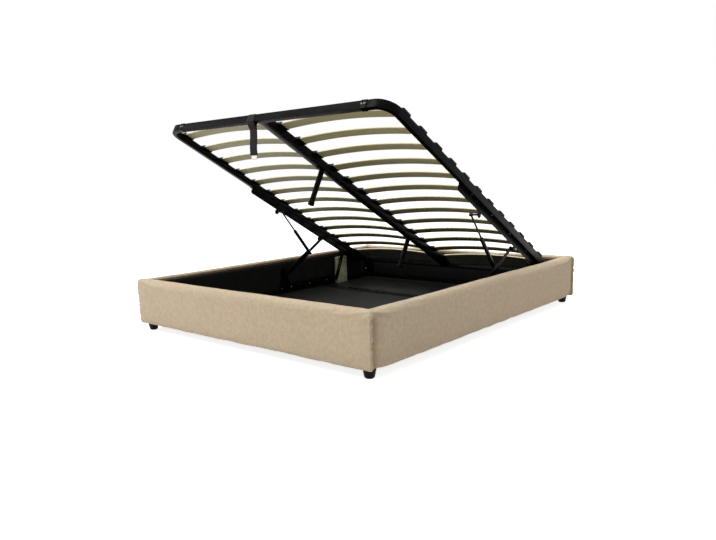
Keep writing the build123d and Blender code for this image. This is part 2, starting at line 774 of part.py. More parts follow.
# Lid angles: steel angles under the side rails, with ears and pins for the strut, the arm and the link
ears = (
    (strut_pivot_reach, -strut_pivot_drop),
    (arm_pivot_reach, -arm_pivot_drop),
    (link_pivot_reach, -link_pivot_drop),
)
web_length = web_end_reach - web_start_reach
flange_bolt_step = web_length / flange_bolt_count
flange_x = web_x + lid_tube_width / 2
stud_length = web_x - eye_outer_x - open_pivot_gap
for side_name, side in sides:
    with BuildPart() as lid_angle_iron:
        with BuildSketch(side_plane(low_x(side, web_x, web_thickness), foot_open, -tilt)):
            with Locations(((web_start_reach + web_end_reach) / 2, -(half_tube + web_drop) / 2)):
                RectangleRounded(web_length, web_drop - half_tube, web_start_radius)
            with Locations(((web_start_reach + web_end_reach) / 2, -half_tube - flange_thickness)):
                Rectangle(web_length, 2 * flange_thickness)
            with Locations(*ears):
                Circle(web_ear_radius)
        extrude(amount=web_thickness)
        with BuildSketch(lid_plane(-half_tube - flange_thickness)):
            with Locations((side * flange_x, (web_start_reach + web_end_reach) / 2)):
                Rectangle(lid_tube_width, web_length)
        extrude(amount=flange_thickness)
        with BuildSketch(Plane.YZ.offset(low_x(side, spacer_x, web_x - spacer_x))):
            with Locations(arm_top_open):
                Circle(spacer_radius)
        extrude(amount=web_x - spacer_x)
        with BuildSketch(Plane.YZ.offset(low_x(side, pin_x, spacer_x - pin_x))):
            with Locations(arm_top_open):
                Circle(pivot_radius)
        extrude(amount=spacer_x - pin_x)
        with BuildSketch(Plane.YZ.offset(low_x(side, pin_x - pivot_head_height, pivot_head_height))):
            with Locations(arm_top_open):
                RegularPolygon(pivot_head_radius, 6)
        extrude(amount=pivot_head_height)
        with BuildSketch(Plane.YZ.offset(low_x(side, web_x - stud_nut_height, stud_nut_height))):
            with Locations(strut_top_open):
                RegularPolygon(stud_nut_radius, 6)
        extrude(amount=stud_nut_height)
        with BuildSketch(Plane.YZ.offset(low_x(side, web_x - stud_length, stud_length))):
            with Locations(strut_top_open):
                Circle(stud_radius)
        extrude(amount=stud_length)
    lid_angle_iron.part.label = f"lid_{side_name}_angle"
    export_step(lid_angle_iron.part, f"parts/{lid_angle_iron.part.label}.step")


# Gas strut rods: steel rod with its eye at the lid and its piston inside the cylinder
rod_end = strut_length_open - strut_cylinder_top + strut_gland_length + strut_piston_length + seat_gap
strut_down = strut_angle_open - pi
for side_name, side in sides:
    eye_low = low_x(side, eye_inner_x, strut_eye_width)
    along_strut = Plane(
        origin=(side * strut_x, strut_top_open[0], strut_top_open[1]),
        x_dir=across,
        z_dir=(0, cos(strut_down), sin(strut_down)),
    )
    with BuildPart() as strut_rod:
        with BuildSketch(along_strut):
            Circle(strut_rod_radius)
        extrude(amount=rod_end)
        with BuildSketch(along_strut.offset(rod_end - strut_piston_length)):
            Circle(strut_cylinder_radius - strut_cylinder_wall - strut_piston_clearance)
        extrude(amount=strut_piston_length)
        with BuildSketch(Plane.YZ.offset(eye_low)):
            with Locations(strut_top_open):
                Circle(strut_eye_radius)
        extrude(amount=strut_eye_width)
        with BuildSketch(Plane.YZ.offset(low_x(side, eye_inner_x - stud_head_height, stud_head_height))):
            with Locations(strut_top_open):
                RegularPolygon(stud_head_radius, 6)
        extrude(amount=stud_head_height)
    strut_rod.part.label = f"{side_name}_strut_rod"
    export_step(strut_rod.part, f"parts/{strut_rod.part.label}.step")


# Gas strut cylinders: closed tube with a chamfered gland, and at its foot an eye with the pin for the arm
strut_up = strut_angle_open
cylinder_start = strut_neck_length
for side_name, side in sides:
    eye_low = low_x(side, eye_inner_x, strut_eye_width)
    up_strut = Plane(
        origin=(side * strut_x, strut_foot_open[0], strut_foot_open[1]),
        x_dir=across,
        z_dir=(0, cos(strut_up), sin(strut_up)),
    )
    with BuildPart() as strut_cylinder:
        with BuildSketch(up_strut.offset(cylinder_start)):
            Circle(strut_cylinder_radius)
        extrude(amount=strut_cylinder_top - cylinder_start)
        gland_face = strut_cylinder.faces().sort_by(Axis((0, 0, 0), (0, cos(strut_up), sin(strut_up))))[-1]
        chamfer(gland_face.edges(), strut_gland_chamfer)
        with BuildSketch(up_strut.offset(cylinder_start + strut_gland_chamfer)):
            Circle(strut_cylinder_radius - strut_cylinder_wall)
        extrude(
            amount=strut_cylinder_top - strut_gland_length - cylinder_start - strut_gland_chamfer,
            mode=Mode.SUBTRACT,
        )
        with BuildSketch(up_strut.offset(strut_cylinder_top - strut_gland_length)):
            Circle(strut_rod_radius + pivot_clearance)
        extrude(amount=strut_gland_length, mode=Mode.SUBTRACT)
        with BuildSketch(up_strut):
            Circle(strut_rod_radius)
        extrude(amount=cylinder_start)
        with BuildSketch(Plane.YZ.offset(eye_low)):
            with Locations(strut_foot_open):
                Circle(strut_eye_radius)
        extrude(amount=strut_eye_width)
        with BuildSketch(Plane.YZ.offset(eye_low)):
            with Locations(strut_foot_open):
                Circle(stud_radius + pivot_clearance)
        extrude(amount=strut_eye_width, mode=Mode.SUBTRACT)
    strut_cylinder.part.label = f"{side_name}_strut_cylinder"
    export_step(strut_cylinder.part, f"parts/{strut_cylinder.part.label}.step")


# Support legs: round posts under the centre rail, each with a top plate and a plastic pad
leg_post_end = leg_drop - leg_pad_height
leg_places = [(0, leg_reach) for leg_reach in leg_reaches]
with BuildPart() as support_legs:
    with BuildSketch(lid_plane(-half_tube - leg_plate_thickness)):
        with Locations(*leg_places):
            Rectangle(centre_rail_width, leg_plate_length)
    extrude(amount=leg_plate_thickness)
    plate_corners = support_legs.edges().filter_by(
        lambda edge: abs(edge.length - leg_plate_thickness) < seat_gap
    )
    chamfer(plate_corners, leg_plate_corner)
    with BuildSketch(lid_plane(-leg_post_end)):
        with Locations(*leg_places):
            Circle(leg_radius)
    extrude(amount=leg_post_end - half_tube - leg_plate_thickness)
    with BuildSketch(lid_plane(-leg_drop)):
        with Locations(*leg_places):
            Circle(leg_pad_radius)
    extrude(amount=leg_pad_height)
support_legs.part.label = "support_legs"
export_step(support_legs.part, "parts/support_legs.step")


# Lid bolts: hexagon heads under the flanges of the lid angles and on the front face of the foot bar
flange_reaches = [web_start_reach + flange_bolt_step * (index + 1 / 2) for index in range(flange_bolt_count)]
front_face = Plane(origin=(0, *foot_open), x_dir=across, z_dir=(0, -cos(tilt), sin(tilt)))
collar_face = lid_tube_width / 2 + joint_collar_wall
collar_bolts = [(side * (collar_x + step * collar_bolt_spacing / 2), 0)
                for side in (-1, 1) for step in (-1, 1)]
with BuildPart() as lid_bolts:
    with BuildSketch(lid_plane(-half_tube - flange_thickness - bolt_head_height)):
        with Locations(*[(side * flange_x, reach) for side in (-1, 1) for reach in flange_reaches]):
            RegularPolygon(bolt_head_radius, 6)
    extrude(amount=bolt_head_height)
    with BuildSketch(front_face.offset(collar_face)):
        with Locations(*collar_bolts):
            RegularPolygon(bolt_head_radius, 6)
    extrude(amount=bolt_head_height)
lid_bolts.part.label = "lid_bolts"
export_step(lid_bolts.part, "parts/lid_bolts.step")


# Slats: bowed birch strips, two to a row, seated flat in their holders and arched between them
slat_bottom = half_tube + holder_floor + slat_fit
slat_inner_x = centre_holder_bridge / 2 + slat_fit
holder_outer_x = rail_outer_x + holder_overhang
slat_outer_x = holder_outer_x - holder_wall - slat_fit
arch_start = slat_inner_x + slat_seat_depth
arch_end = slat_outer_x - slat_seat_depth
arch_middle = (arch_start + arch_end) / 2
slat_reaches = [first_slat_reach + slat_pitch * index for index in range(slat_count)]
for slat_index, slat_reach in enumerate(slat_reaches):
    row_place = open_place(slat_reach - slat_width / 2, slat_bottom)
    row_plane = Plane(
        origin=(0, row_place[0], row_place[1]), x_dir=(-1, 0, 0), z_dir=(0, cos(tilt), -sin(tilt))
    )
    with BuildPart() as slat_row:
        for side in (-1, 1):
            with BuildSketch(row_plane):
                with BuildLine():
                    Line((side * slat_inner_x, 0), (side * arch_start, 0))
                    ThreePointArc(
                        (side * arch_start, 0),
                        (side * arch_middle, slat_bow),
                        (side * arch_end, 0),
                    )
                    Line((side * arch_end, 0), (side * slat_outer_x, 0))
                    Line((side * slat_outer_x, 0), (side * slat_outer_x, slat_thickness))
                    Line((side * slat_outer_x, slat_thickness), (side * arch_end, slat_thickness))
                    ThreePointArc(
                        (side * arch_end, slat_thickness),
                        (side * arch_middle, slat_bow + slat_thickness),
                        (side * arch_start, slat_thickness),
                    )
                    Line((side * arch_start, slat_thickness), (side * slat_inner_x, slat_thickness))
                    Line((side * slat_inner_x, slat_thickness), (side * slat_inner_x, 0))
                make_face()
            extrude(amount=slat_width)
    slat_row.part.label = f"slat_row_{slat_index + 1:02d}"
    export_step(slat_row.part, f"parts/{slat_row.part.label}.step")


# Slat holders: plastic pockets on top of the side rails and double pockets on the centre rail
pocket_width = slat_width + 2 * slat_fit
pocket_height = slat_thickness + 2 * slat_fit
holder_height = holder_floor + pocket_height + holder_roof
holder_width = pocket_width + 2 * holder_wall
side_holder_depth = slat_seat_depth + holder_wall
side_holder_x = holder_outer_x - side_holder_depth / 2
side_pocket_x = holder_outer_x - holder_wall - slat_seat_depth / 2
for side_name, side in sides:
    with BuildPart() as side_holders:
        with BuildSketch(lid_plane(half_tube)):
            with Locations(*[(side * side_holder_x, reach) for reach in slat_reaches]):
                Rectangle(side_holder_depth, holder_width)
        extrude(amount=holder_height)
        outer_edges = side_holders.edges().filter_by(
            lambda edge: abs(edge.length - holder_height) < slat_fit
            and side * edge.center().X > rail_middle_x
        )
        chamfer(outer_edges, holder_corner_chamfer)
        with BuildSketch(lid_plane(half_tube + holder_floor)):
            with Locations(*[(side * side_pocket_x, reach) for reach in slat_reaches]):
                Rectangle(slat_seat_depth, pocket_width)
        extrude(amount=pocket_height, mode=Mode.SUBTRACT)
    side_holders.part.label = f"{side_name}_slat_holders"
    export_step(side_holders.part, f"parts/{side_holders.part.label}.step")

centre_holder_length = centre_holder_bridge + 2 * slat_seat_depth
centre_pocket_x = centre_holder_bridge / 2 + slat_seat_depth / 2
with BuildPart() as centre_holders:
    with BuildSketch(lid_plane(half_tube)):
        with Locations(*[(0, reach) for reach in slat_reaches]):
            Rectangle(centre_holder_length, holder_width)
    extrude(amount=holder_height)
    with BuildSketch(lid_plane(half_tube + holder_floor)):
        with Locations(*[(side * centre_pocket_x, reach) for reach in slat_reaches for side in (-1, 1)]):
            Rectangle(slat_seat_depth, pocket_width)
    extrude(amount=pocket_height, mode=Mode.SUBTRACT)
centre_holders.part.label = "centre_slat_holders"
export_step(centre_holders.part, "parts/centre_slat_holders.step")


# Pull strap: black webbing looped round the foot bar and sewn into a flat double tail that hangs plumb
loop_inner = hypot(half_tube, lid_tube_width / 2) + strap_loop_clearance
loop_outer = loop_inner + strap_thickness
tail_half = strap_thickness
throat_angle = asin((loop_outer - tail_half) / strap_throat) / 2
with BuildPart() as pull_strap:
    with BuildSketch(side_plane(strap_centre_x - strap_width / 2, foot_open)):
        Circle(loop_outer)
        with BuildLine():
            Polyline(
                (-loop_outer * cos(throat_angle), -loop_outer * sin(throat_angle)),
                (-tail_half, -strap_throat),
                (tail_half, -strap_throat),
                (loop_outer * cos(throat_angle), -loop_outer * sin(throat_angle)),
                close=True,
            )
        make_face()
        with BuildLine():
            Polyline(
                (-loop_inner * cos(throat_angle), -loop_inner * sin(throat_angle)),
                (0, -strap_throat + strap_thickness),
                (loop_inner * cos(throat_angle), -loop_inner * sin(throat_angle)),
                close=True,
            )
        make_face(mode=Mode.SUBTRACT)
        Circle(loop_inner, mode=Mode.SUBTRACT)
        with Locations((0, -(strap_throat + strap_length) / 2)):
            Rectangle(2 * tail_half, strap_length - strap_throat)
        with Locations((0, -strap_length)):
            Circle(strap_end_radius)
    extrude(amount=strap_width)
pull_strap.part.label = "pull_strap"
export_step(pull_strap.part, "parts/pull_strap.step")
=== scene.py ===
import math
import bmesh
import bpy
from mathutils import Matrix, Vector, noise


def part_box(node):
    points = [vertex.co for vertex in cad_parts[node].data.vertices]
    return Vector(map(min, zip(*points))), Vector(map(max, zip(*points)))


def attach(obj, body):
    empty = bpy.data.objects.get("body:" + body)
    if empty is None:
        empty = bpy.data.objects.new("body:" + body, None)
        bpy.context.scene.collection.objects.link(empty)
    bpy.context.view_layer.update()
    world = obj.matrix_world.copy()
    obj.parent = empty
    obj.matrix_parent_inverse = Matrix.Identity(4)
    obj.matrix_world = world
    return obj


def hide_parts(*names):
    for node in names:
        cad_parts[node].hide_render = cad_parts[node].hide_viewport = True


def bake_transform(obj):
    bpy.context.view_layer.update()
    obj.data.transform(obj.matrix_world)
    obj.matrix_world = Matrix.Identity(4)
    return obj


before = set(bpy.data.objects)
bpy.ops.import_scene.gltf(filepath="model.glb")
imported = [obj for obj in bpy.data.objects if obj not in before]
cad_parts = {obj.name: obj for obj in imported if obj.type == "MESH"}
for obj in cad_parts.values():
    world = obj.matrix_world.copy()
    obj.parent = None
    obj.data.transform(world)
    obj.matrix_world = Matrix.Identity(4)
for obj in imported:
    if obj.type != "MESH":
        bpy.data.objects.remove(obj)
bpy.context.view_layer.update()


# Helpers for colours, nodes and plain objects. Lengths are in metres.
def linear(colour):
    """Linear colour of an sRGB hex value."""
    parts = [int(colour[place:place + 2], 16) / 255 for place in (1, 3, 5)]
    return (*[part / 12.92 if part <= 0.04045 else ((part + 0.055) / 1.055) ** 2.4 for part in parts], 1)


def add(tree, kind, **settings):
    """Adds a node. A setting is a property of the node, or a socket by its name or by its number after an underscore.
    A socket given as a value is linked, and a node given as one is linked by its first output."""
    made = tree.nodes.new(kind)
    for name, value in settings.items():
        if name in made.bl_rna.properties:
            setattr(made, name, value)
            continue
        socket = made.inputs[int(name[1:])] if name[0] == "_" else made.inputs[name.replace("_", " ")]
        if isinstance(value, bpy.types.Node):
            value = value.outputs[0]
        if isinstance(value, bpy.types.NodeSocket):
            tree.links.new(value, socket)
        else:
            socket.default_value = value
    return made


wave_turns = 3.2  # Bands to the metre in a wave texture of scale 1.


def start_finish(name):
    """A new material, its node tree, empty but for the output, and the place in metres that its patterns follow."""
    made = bpy.data.materials.new(name)
    made.use_nodes = True
    tree = made.node_tree
    tree.nodes.clear()
    add(tree, "ShaderNodeOutputMaterial")
    return made, tree, add(tree, "ShaderNodeTexCoord").outputs["Object"]


def coat(finish, relief=None, **settings):
    """Ends a material in one surface with these settings, and with a relief of (strength, depth in metres, height)."""
    tree = finish.node_tree
    surface = add(tree, "ShaderNodeBsdfPrincipled", **settings)
    if relief:
        strength, depth, height = relief
        raised = add(tree, "ShaderNodeBump", Strength=strength, Distance=depth, Height=height)
        tree.links.new(raised.outputs[0], surface.inputs["Normal"])
    tree.links.new(surface.outputs[0], tree.nodes["Material Output"].inputs["Surface"])


def between(tree, amount, low, high, first, second):
    """Colour that goes from the first to the second while the amount goes from low to high."""
    ramp = add(tree, "ShaderNodeMapRange", Value=amount, _1=low, _2=high)
    return add(tree, "ShaderNodeMix", data_type="RGBA", _0=ramp, _6=first, _7=second).outputs[2]


def shade(shape, degrees):
    """Smooth faces, with the edges sharp that turn by more than these degrees."""
    for face in shape.faces:
        face.smooth = True
    for edge in shape.edges:
        edge.smooth = not edge.is_manifold or edge.calc_face_angle() < math.radians(degrees)


def add_object(name, data):
    """An object in the scene, of this mesh, lamp or camera."""
    made = bpy.data.objects.new(name, data)
    bpy.context.scene.collection.objects.link(made)
    return made


def add_shape(name, shape):
    """A plain object made of a worked shape, which is let go."""
    mesh = bpy.data.meshes.new(name)
    shape.to_mesh(mesh)
    shape.free()
    return add_object(name, mesh)


# Rail boards: four chipboard sides, sawn square and screwed together at the corners. The covers hide them, and only
# their raw lower edges could be seen from below, as pale pressed flakes about 5 mm across, dull all over.
chipboard, tree, place = start_finish("chipboard_sawn")
flakes = add(tree, "ShaderNodeTexVoronoi", Vector=place, Scale=1 / 0.005)
coat(
    chipboard,
    Base_Color=between(tree, flakes, 0, 0.7, linear("#C2A179"), linear("#8F6D46")),
    Roughness=0.85,
)
boards = ["foot_rail_board", "head_rail_board", "left_rail_board", "right_rail_board"]
for name in boards:
    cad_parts[name].data.materials.clear()
    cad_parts[name].data.materials.append(chipboard)


# Rail covers: beige woven cloth over a foam layer on each board, pulled round the top and stapled below. The
# four covers meet in upright seams at the corners, where the cloth draws in and puckers a little.
inside_x = 0.8
inside_y = 1.0
rail_thickness = 0.06
rail_low = 0.045
rail_high = 0.3
board_depth = 0.0253
board_high = 0.2803
crown_radius = 0.027
hem_radius = 0.013
inner_edge_radius = 0.015
corner_radius = 0.015
swell_room = 0.002
seam_pitch, seam_rings, open_pitch = 0.0035, 12, 0.013
seam_allowance = 0.02
cloth_offset = 3.7


def arc(centre, radius, start, end, steps):
    """Points of an arc, without its first one."""
    turns = [math.radians(start + (end - start) * step / steps) for step in range(1, steps + 1)]
    return [(centre[0] + radius * math.cos(turn), centre[1] + radius * math.sin(turn)) for turn in turns]


def run(start, end, steps):
    """Points of a straight run, without its first one."""
    return [tuple(start[axis] + (end[axis] - start[axis]) * step / steps for axis in (0, 1))
            for step in range(1, steps + 1)]


outer_face = rail_thickness - swell_room
cover_outline = (
    run((0, board_high), (0, rail_high - inner_edge_radius), 1)
    + arc((inner_edge_radius, rail_high - inner_edge_radius), inner_edge_radius, 180, 90, 5)
    + run((inner_edge_radius, rail_high), (outer_face - crown_radius, rail_high), 2)
    + arc((outer_face - crown_radius, rail_high - crown_radius), crown_radius, 90, 0, 9)
    + run((outer_face, rail_high - crown_radius), (outer_face, rail_low + hem_radius), 34)
    + arc((outer_face - hem_radius, rail_low + hem_radius), hem_radius, 0, -90, 6)
    + run((outer_face - hem_radius, rail_low), (board_depth, rail_low), 3)
    + run((board_depth, rail_low), (board_depth, board_high), 9)
    + run((board_depth, board_high), (0, board_high), 3)
)


def cover_stations(half_length):
    """Shares of the half length at which a cover has a ring of points, closer together near the seam."""
    fine = [1 - seam_pitch * step / half_length for step in range(seam_rings)]
    rest = int(fine[-1] * half_length / open_pitch)
    return [fine[-1] * step / rest for step in range(rest)] + fine[::-1]


def loft(shape, rings, on_cloth=None):
    """Joins rings of points of equal count, in order, and returns their corners. Where on_cloth gives the place of a
    ring's point on the cloth, the faces are smooth and carry it as a map."""
    cloth_map = shape.loops.layers.uv.new("cloth") if on_cloth else None
    made = [[shape.verts.new(point) for point in ring] for ring in rings]
    for row, (first, second) in enumerate(zip(made, made[1:])):
        for index in range(len(first)):
            after = (index + 1) % len(first)
            face = shape.faces.new((first[index], first[after], second[after], second[index]))
            if on_cloth:
                face.smooth = True
                corners = ((row, index), (row, index + 1), (row + 1, index + 1), (row + 1, index))
                for loop, corner in zip(face.loops, corners):
                    loop[cloth_map].uv = on_cloth(*corner)
    return made


def close_shell(name, shape, rings):
    """Closes a shell of rings at both ends and makes it an object."""
    shape.faces.new(rings[0][::-1])
    shape.faces.new(rings[-1])
    bmesh.ops.recalc_face_normals(shape, faces=shape.faces)
    return add_shape(name, shape)


def sew_cover(name, half_inside, inside, turn, cloth_start):
    """One rail's cover as a closed shell from seam to seam, laid along X and then turned to its side of the bed."""
    arc_centre = half_inside + rail_thickness - corner_radius
    centre_depth = rail_thickness - corner_radius
    positive = cover_stations(half_inside)
    stations = [-share for share in positive[:0:-1]] + positive
    spin = Matrix.Rotation(math.radians(turn), 4, "Z")
    straight_share = arc_centre / (arc_centre + corner_radius * math.pi / 4)
    rings = []
    for station in stations:
        side, share = (1 if station >= 0 else -1), abs(station)
        ring = []
        for depth, height in cover_outline:
            if depth <= centre_depth:
                end = arc_centre - (centre_depth - depth)
                along, out = share * end, depth
            elif share <= straight_share:
                along, out = share / straight_share * arc_centre, depth
            else:
                swing = (share - straight_share) / (1 - straight_share) * math.pi / 4
                along = arc_centre + (depth - centre_depth) * math.sin(swing)
                out = centre_depth + (depth - centre_depth) * math.cos(swing)
            ring.append(spin @ Vector((side * along, -(inside + out), height)))
        rings.append(ring)
    lengths = [0.0]
    for start, end in zip(cover_outline, cover_outline[1:] + cover_outline[:1]):
        lengths.append(lengths[-1] + math.dist(start, end))
    cloth_half = arc_centre + seam_allowance
    shell = bmesh.new()
    made = loft(shell, rings, lambda row, column: (stations[row] * cloth_half + cloth_start, lengths[column]))
    return close_shell(name, shell, made)


def plump(piece, pressure, most, held, frames=20):
    """Cloth swells the piece away from its held points for some frames, by no more than most metres."""
    before = [vertex.co.copy() for vertex in piece.data.vertices]
    pins = piece.vertex_groups.new(name="held")
    for vertex in piece.data.vertices:
        pins.add([vertex.index], held(vertex.co), "REPLACE")
    swell = piece.modifiers.new("swell", "CLOTH")
    cloth = swell.settings
    cloth.use_pressure = True
    cloth.uniform_pressure_force = pressure
    cloth.vertex_group_mass = "held"
    cloth.quality = 4
    cloth.tension_stiffness = cloth.compression_stiffness = 40
    cloth.shear_stiffness = 20
    cloth.effector_weights.gravity = 0
    swell.collision_settings.use_collision = False
    swell.point_cache.frame_end = frames
    for number in range(1, frames + 1):
        bpy.context.scene.frame_set(number)
    swollen = piece.evaluated_get(bpy.context.evaluated_depsgraph_get())
    after = [vertex.co.copy() for vertex in swollen.to_mesh().vertices]
    swollen.to_mesh_clear()
    piece.modifiers.remove(swell)
    piece.vertex_groups.remove(pins)
    for vertex, start, end in zip(piece.data.vertices, before, after):
        move = end - start
        if move.length > most:
            move = move.normalized() * most
        vertex.co = start + move
    bpy.context.scene.frame_set(1)


def held_by_staples(spot):
    """1 where the cloth lies on the board, at its stapled hem and at the corner seams, and 0 where it can swell."""
    beside, hem = 0.001, 0.004
    outer = max(abs(spot.x) - inside_x, abs(spot.y) - inside_y)
    seam = abs((abs(spot.x) - inside_x) - (abs(spot.y) - inside_y))
    on_board = outer < board_depth + beside and spot.z < board_high + beside
    return 1.0 if on_board or spot.z < rail_low + hem or seam < hem else 0.0


# How far hand work leaves the cloth from true: the turned edge at a corner and its lumps, the pull of the seam
# behind it, the puckers beside a seam, the waves of the faces and those of the hem; also where a band of painted
# shadow lies behind the seam. A factor inside noise is about its number of waves to the metre.
edge_lift, edge_lump, edge_width, edge_lean = 0.0014, 0.0075, 0.007, 0.006
seam_pull, uneven_pull, pull_behind, pull_near, pull_far = 0.0085, 0.0026, 0.021, 0.009, 0.034
shadow_behind, shadow_near, shadow_far = 0.011, 0.004, 0.024
pucker_height, pucker_reach = 0.0011, 0.05
soft_wave, fine_wave = 0.0014, 0.0006
hem_wave, hem_lift, hem_reach = 0.0026, 0.0008, 0.02


def bell(distance, near, far):
    """1 in the middle, falling to nothing over one width on the near side and another on the far one."""
    return math.exp(-(distance / (near if distance < 0 else far)) ** 2)


def work_cloth(piece):
    """Small unevenness of hand stapled cloth: soft waves, a wavy hem, and at each upright corner a lumpy turned edge
    with the seam drawn in just behind it. It also stores a band of painted shadow behind each seam, for the cloth's
    colour. It depends only on the place, so neighbouring covers still meet."""
    beside, on_seam, crown_fade = 0.002, 0.0006, 0.03
    piece.data.update()
    normals = [vertex.normal.copy() for vertex in piece.data.vertices]
    seam_shadow = piece.data.attributes.new("seam_shadow", "FLOAT", "POINT").data
    for vertex, normal in zip(piece.data.vertices, normals):
        spot = vertex.co
        outer = max(abs(spot.x) - inside_x, abs(spot.y) - inside_y)
        if outer < board_depth + beside and spot.z < board_high + beside:
            continue
        seam = ((abs(spot.x) - inside_x) - (abs(spot.y) - inside_y)) / math.sqrt(2)
        if abs(seam) < on_seam:
            across_seam = Vector((math.copysign(1, spot.x), -math.copysign(1, spot.y), 0)).normalized()
            normal = (normal - across_seam * normal.dot(across_seam)).normalized()
        corner = Vector((math.copysign(3, spot.x), math.copysign(7, spot.y), spot.z * 52))
        lump = noise.noise(corner) + 0.5 * noise.noise(corner * 2.3)
        drawn = seam_pull + uneven_pull * noise.noise(corner * 1.7)
        upright = min(1, max(0.15, (rail_high - 0.004 - spot.z) / crown_fade))
        behind = seam - edge_lean * lump
        fold = (edge_lift + edge_lump * lump) * bell(seam, edge_width, edge_width)
        fold -= drawn * bell(behind - pull_behind, pull_near, pull_far)
        # Painted shadow: a band behind the seam, kept for the cloth's colour, stands for the shade of the turned edge.
        seam_shadow[vertex.index].value = upright * bell(behind - shadow_behind, shadow_near, shadow_far)
        pucker = pucker_height * noise.noise(Vector((spot.x * 12, spot.y * 12, spot.z * 42)))
        soft = soft_wave * noise.noise(spot * 8)
        fine = fine_wave * noise.noise(spot * 34)
        shift = normal * (soft + fine + bell(seam, pucker_reach, pucker_reach) * pucker + fold * upright)
        if spot.z < rail_low + hem_reach:
            shift.z += hem_wave * noise.noise(Vector((spot.x * 13, spot.y * 13, 0))) - hem_lift
        vertex.co += shift
    piece.data.update()


# Polyester chenille in a linen weave, piece dyed beige: soft thick yarns about 2 mm across, drawn at 4 mm so that
# they show, small nubs where a yarn swells, faint clouds a hand wide, a short pale pile on every edge, and a band of
# painted shadow behind the corner seams, where the turned edge would shade the cloth.
cover_cloth, tree, solid_place = start_finish("polyester_chenille_weave")
cloth_place = add(tree, "ShaderNodeUVMap", uv_map="cloth").outputs["UV"]
warp, weft = [add(tree, "ShaderNodeTexWave", Vector=cloth_place, bands_direction=way, Scale=1 / (0.004 * wave_turns),
                  Distortion=1.6, Detail=1.0, Detail_Scale=2.0).outputs["Fac"] for way in ("X", "Y")]
crossing = add(tree, "ShaderNodeMath", operation="MULTIPLY", _0=warp, _1=weft)
nubs = add(tree, "ShaderNodeTexNoise", Vector=solid_place, Scale=1 / 0.006, Detail=3.0)
slubs = add(tree, "ShaderNodeTexNoise", Vector=solid_place, Scale=1 / 0.022, Detail=3.0)
clouds = add(tree, "ShaderNodeTexNoise", Vector=solid_place, Scale=1 / 0.2, Detail=2.0)
seam_shadow = add(tree, "ShaderNodeAttribute", attribute_name="seam_shadow").outputs["Fac"]
yarn = between(tree, nubs, 0.34, 0.66, linear("#C8B69F"), linear("#DFD2C0"))
colour = between(tree, crossing, 0.0, 0.7, linear("#C1B098"), yarn)
for amount, tint in (
    (1.0, between(tree, slubs, 0.36, 0.64, linear("#F4F2EE"), linear("#FFFFFF"))),
    (1.0, between(tree, clouds, 0.35, 0.65, linear("#FFFAF6"), linear("#FAF9F3"))),
    # Painted shadow: the cloth's colour is darkened in the band behind each corner seam.
    (seam_shadow, linear("#C9BDAD")),
):
    tinted = add(tree, "ShaderNodeMix", data_type="RGBA", blend_type="MULTIPLY", _0=amount, _6=colour, _7=tint)
    colour = tinted.outputs[2]
height = add(tree, "ShaderNodeMath", operation="MULTIPLY_ADD", _0=nubs, _1=3.0, _2=crossing)
coat(
    cover_cloth,
    Base_Color=colour,
    Roughness=0.95,
    Specular_IOR_Level=0.2,
    Sheen_Weight=0.32,
    Sheen_Roughness=0.42,
    Sheen_Tint=linear("#F4E8DC"),
    relief=(0.55, 0.0016, height),
)

for number, (name, half_inside, inside, turn) in enumerate((
    ("foot_rail_cover", inside_x, inside_y, 0),
    ("right_rail_cover", inside_y, inside_x, 90),
    ("head_rail_cover", inside_x, inside_y, 180),
    ("left_rail_cover", inside_y, inside_x, 270),
)):
    cover = sew_cover(name.replace("rail_cover", "cloth_cover"), half_inside, inside, turn, number * cloth_offset)
    plump(cover, pressure=1.2, most=0.0035, held=held_by_staples)
    work_cloth(cover)
    cover.data.materials.append(cover_cloth)
    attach(cover, "base")
    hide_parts(name)


# Storage lining: black non-woven cloth stapled flat inside the four boards, from the floor to just below their top.
# Its upper edge runs a little unevenly, and it hangs lower in the corners, which the floor ledges leave open.
lining_x = 0.7982
lining_y = 0.9982
lining_low = 0.0702
lining_high = 0.2755
lining_corner_low = 0.0536
ledge_setback = 0.0245
lining_pitch, lining_rows = 0.02, 11
lining_thickness, lining_slack, lining_edge_wave = 0.0014, 0.0004, 0.0012


def make_lining():
    """The lining as a thin closed band round the box, with a row of points every lining_pitch metres."""
    sheet = bmesh.new()
    cloth_map = sheet.loops.layers.uv.new("cloth")
    corners = [(-lining_x, -lining_y), (lining_x, -lining_y), (lining_x, lining_y), (-lining_x, lining_y)]
    path = []
    for start, end in zip(corners, corners[1:] + corners[:1]):
        path += run(start, end, round(math.dist(start, end) / lining_pitch))
    columns = []
    for x, y in path:
        at_side, at_end = abs(x) >= lining_x - 1e-6, abs(y) >= lining_y - 1e-6
        out = Vector((at_side * math.copysign(1, x), at_end * math.copysign(1, y), 0))
        top = lining_high + lining_edge_wave * noise.noise(Vector((x * 11, y * 11, 3)))
        inner, outer = [], []
        low = lining_corner_low if at_side and abs(y) > lining_y - ledge_setback else lining_low
        for row in range(lining_rows):
            height = low + (top - low) * row / (lining_rows - 1)
            slack = lining_slack * (1 + noise.noise(Vector((x * 14, y * 14, height * 9))))
            inner.append(sheet.verts.new(Vector((x, y, height)) + out * slack))
            outer.append(sheet.verts.new(Vector((x, y, height)) + out * lining_thickness))
        columns.append(inner + outer[::-1])
    total = len(columns)
    for index in range(total):
        here, beyond = columns[index], columns[(index + 1) % total]
        for row in range(len(here)):
            above = (row + 1) % len(here)
            face = sheet.faces.new((here[row], beyond[row], beyond[above], here[above]))
            face.smooth = True
            heights = (row, row, row + 1, row + 1)
            for loop, (column, height) in zip(face.loops, zip((index, index + 1, index + 1, index), heights)):
                loop[cloth_map].uv = (column * lining_pitch, height * lining_pitch)
    bmesh.ops.recalc_face_normals(sheet, faces=sheet.faces)
    return add_shape("lining_cloth", sheet)


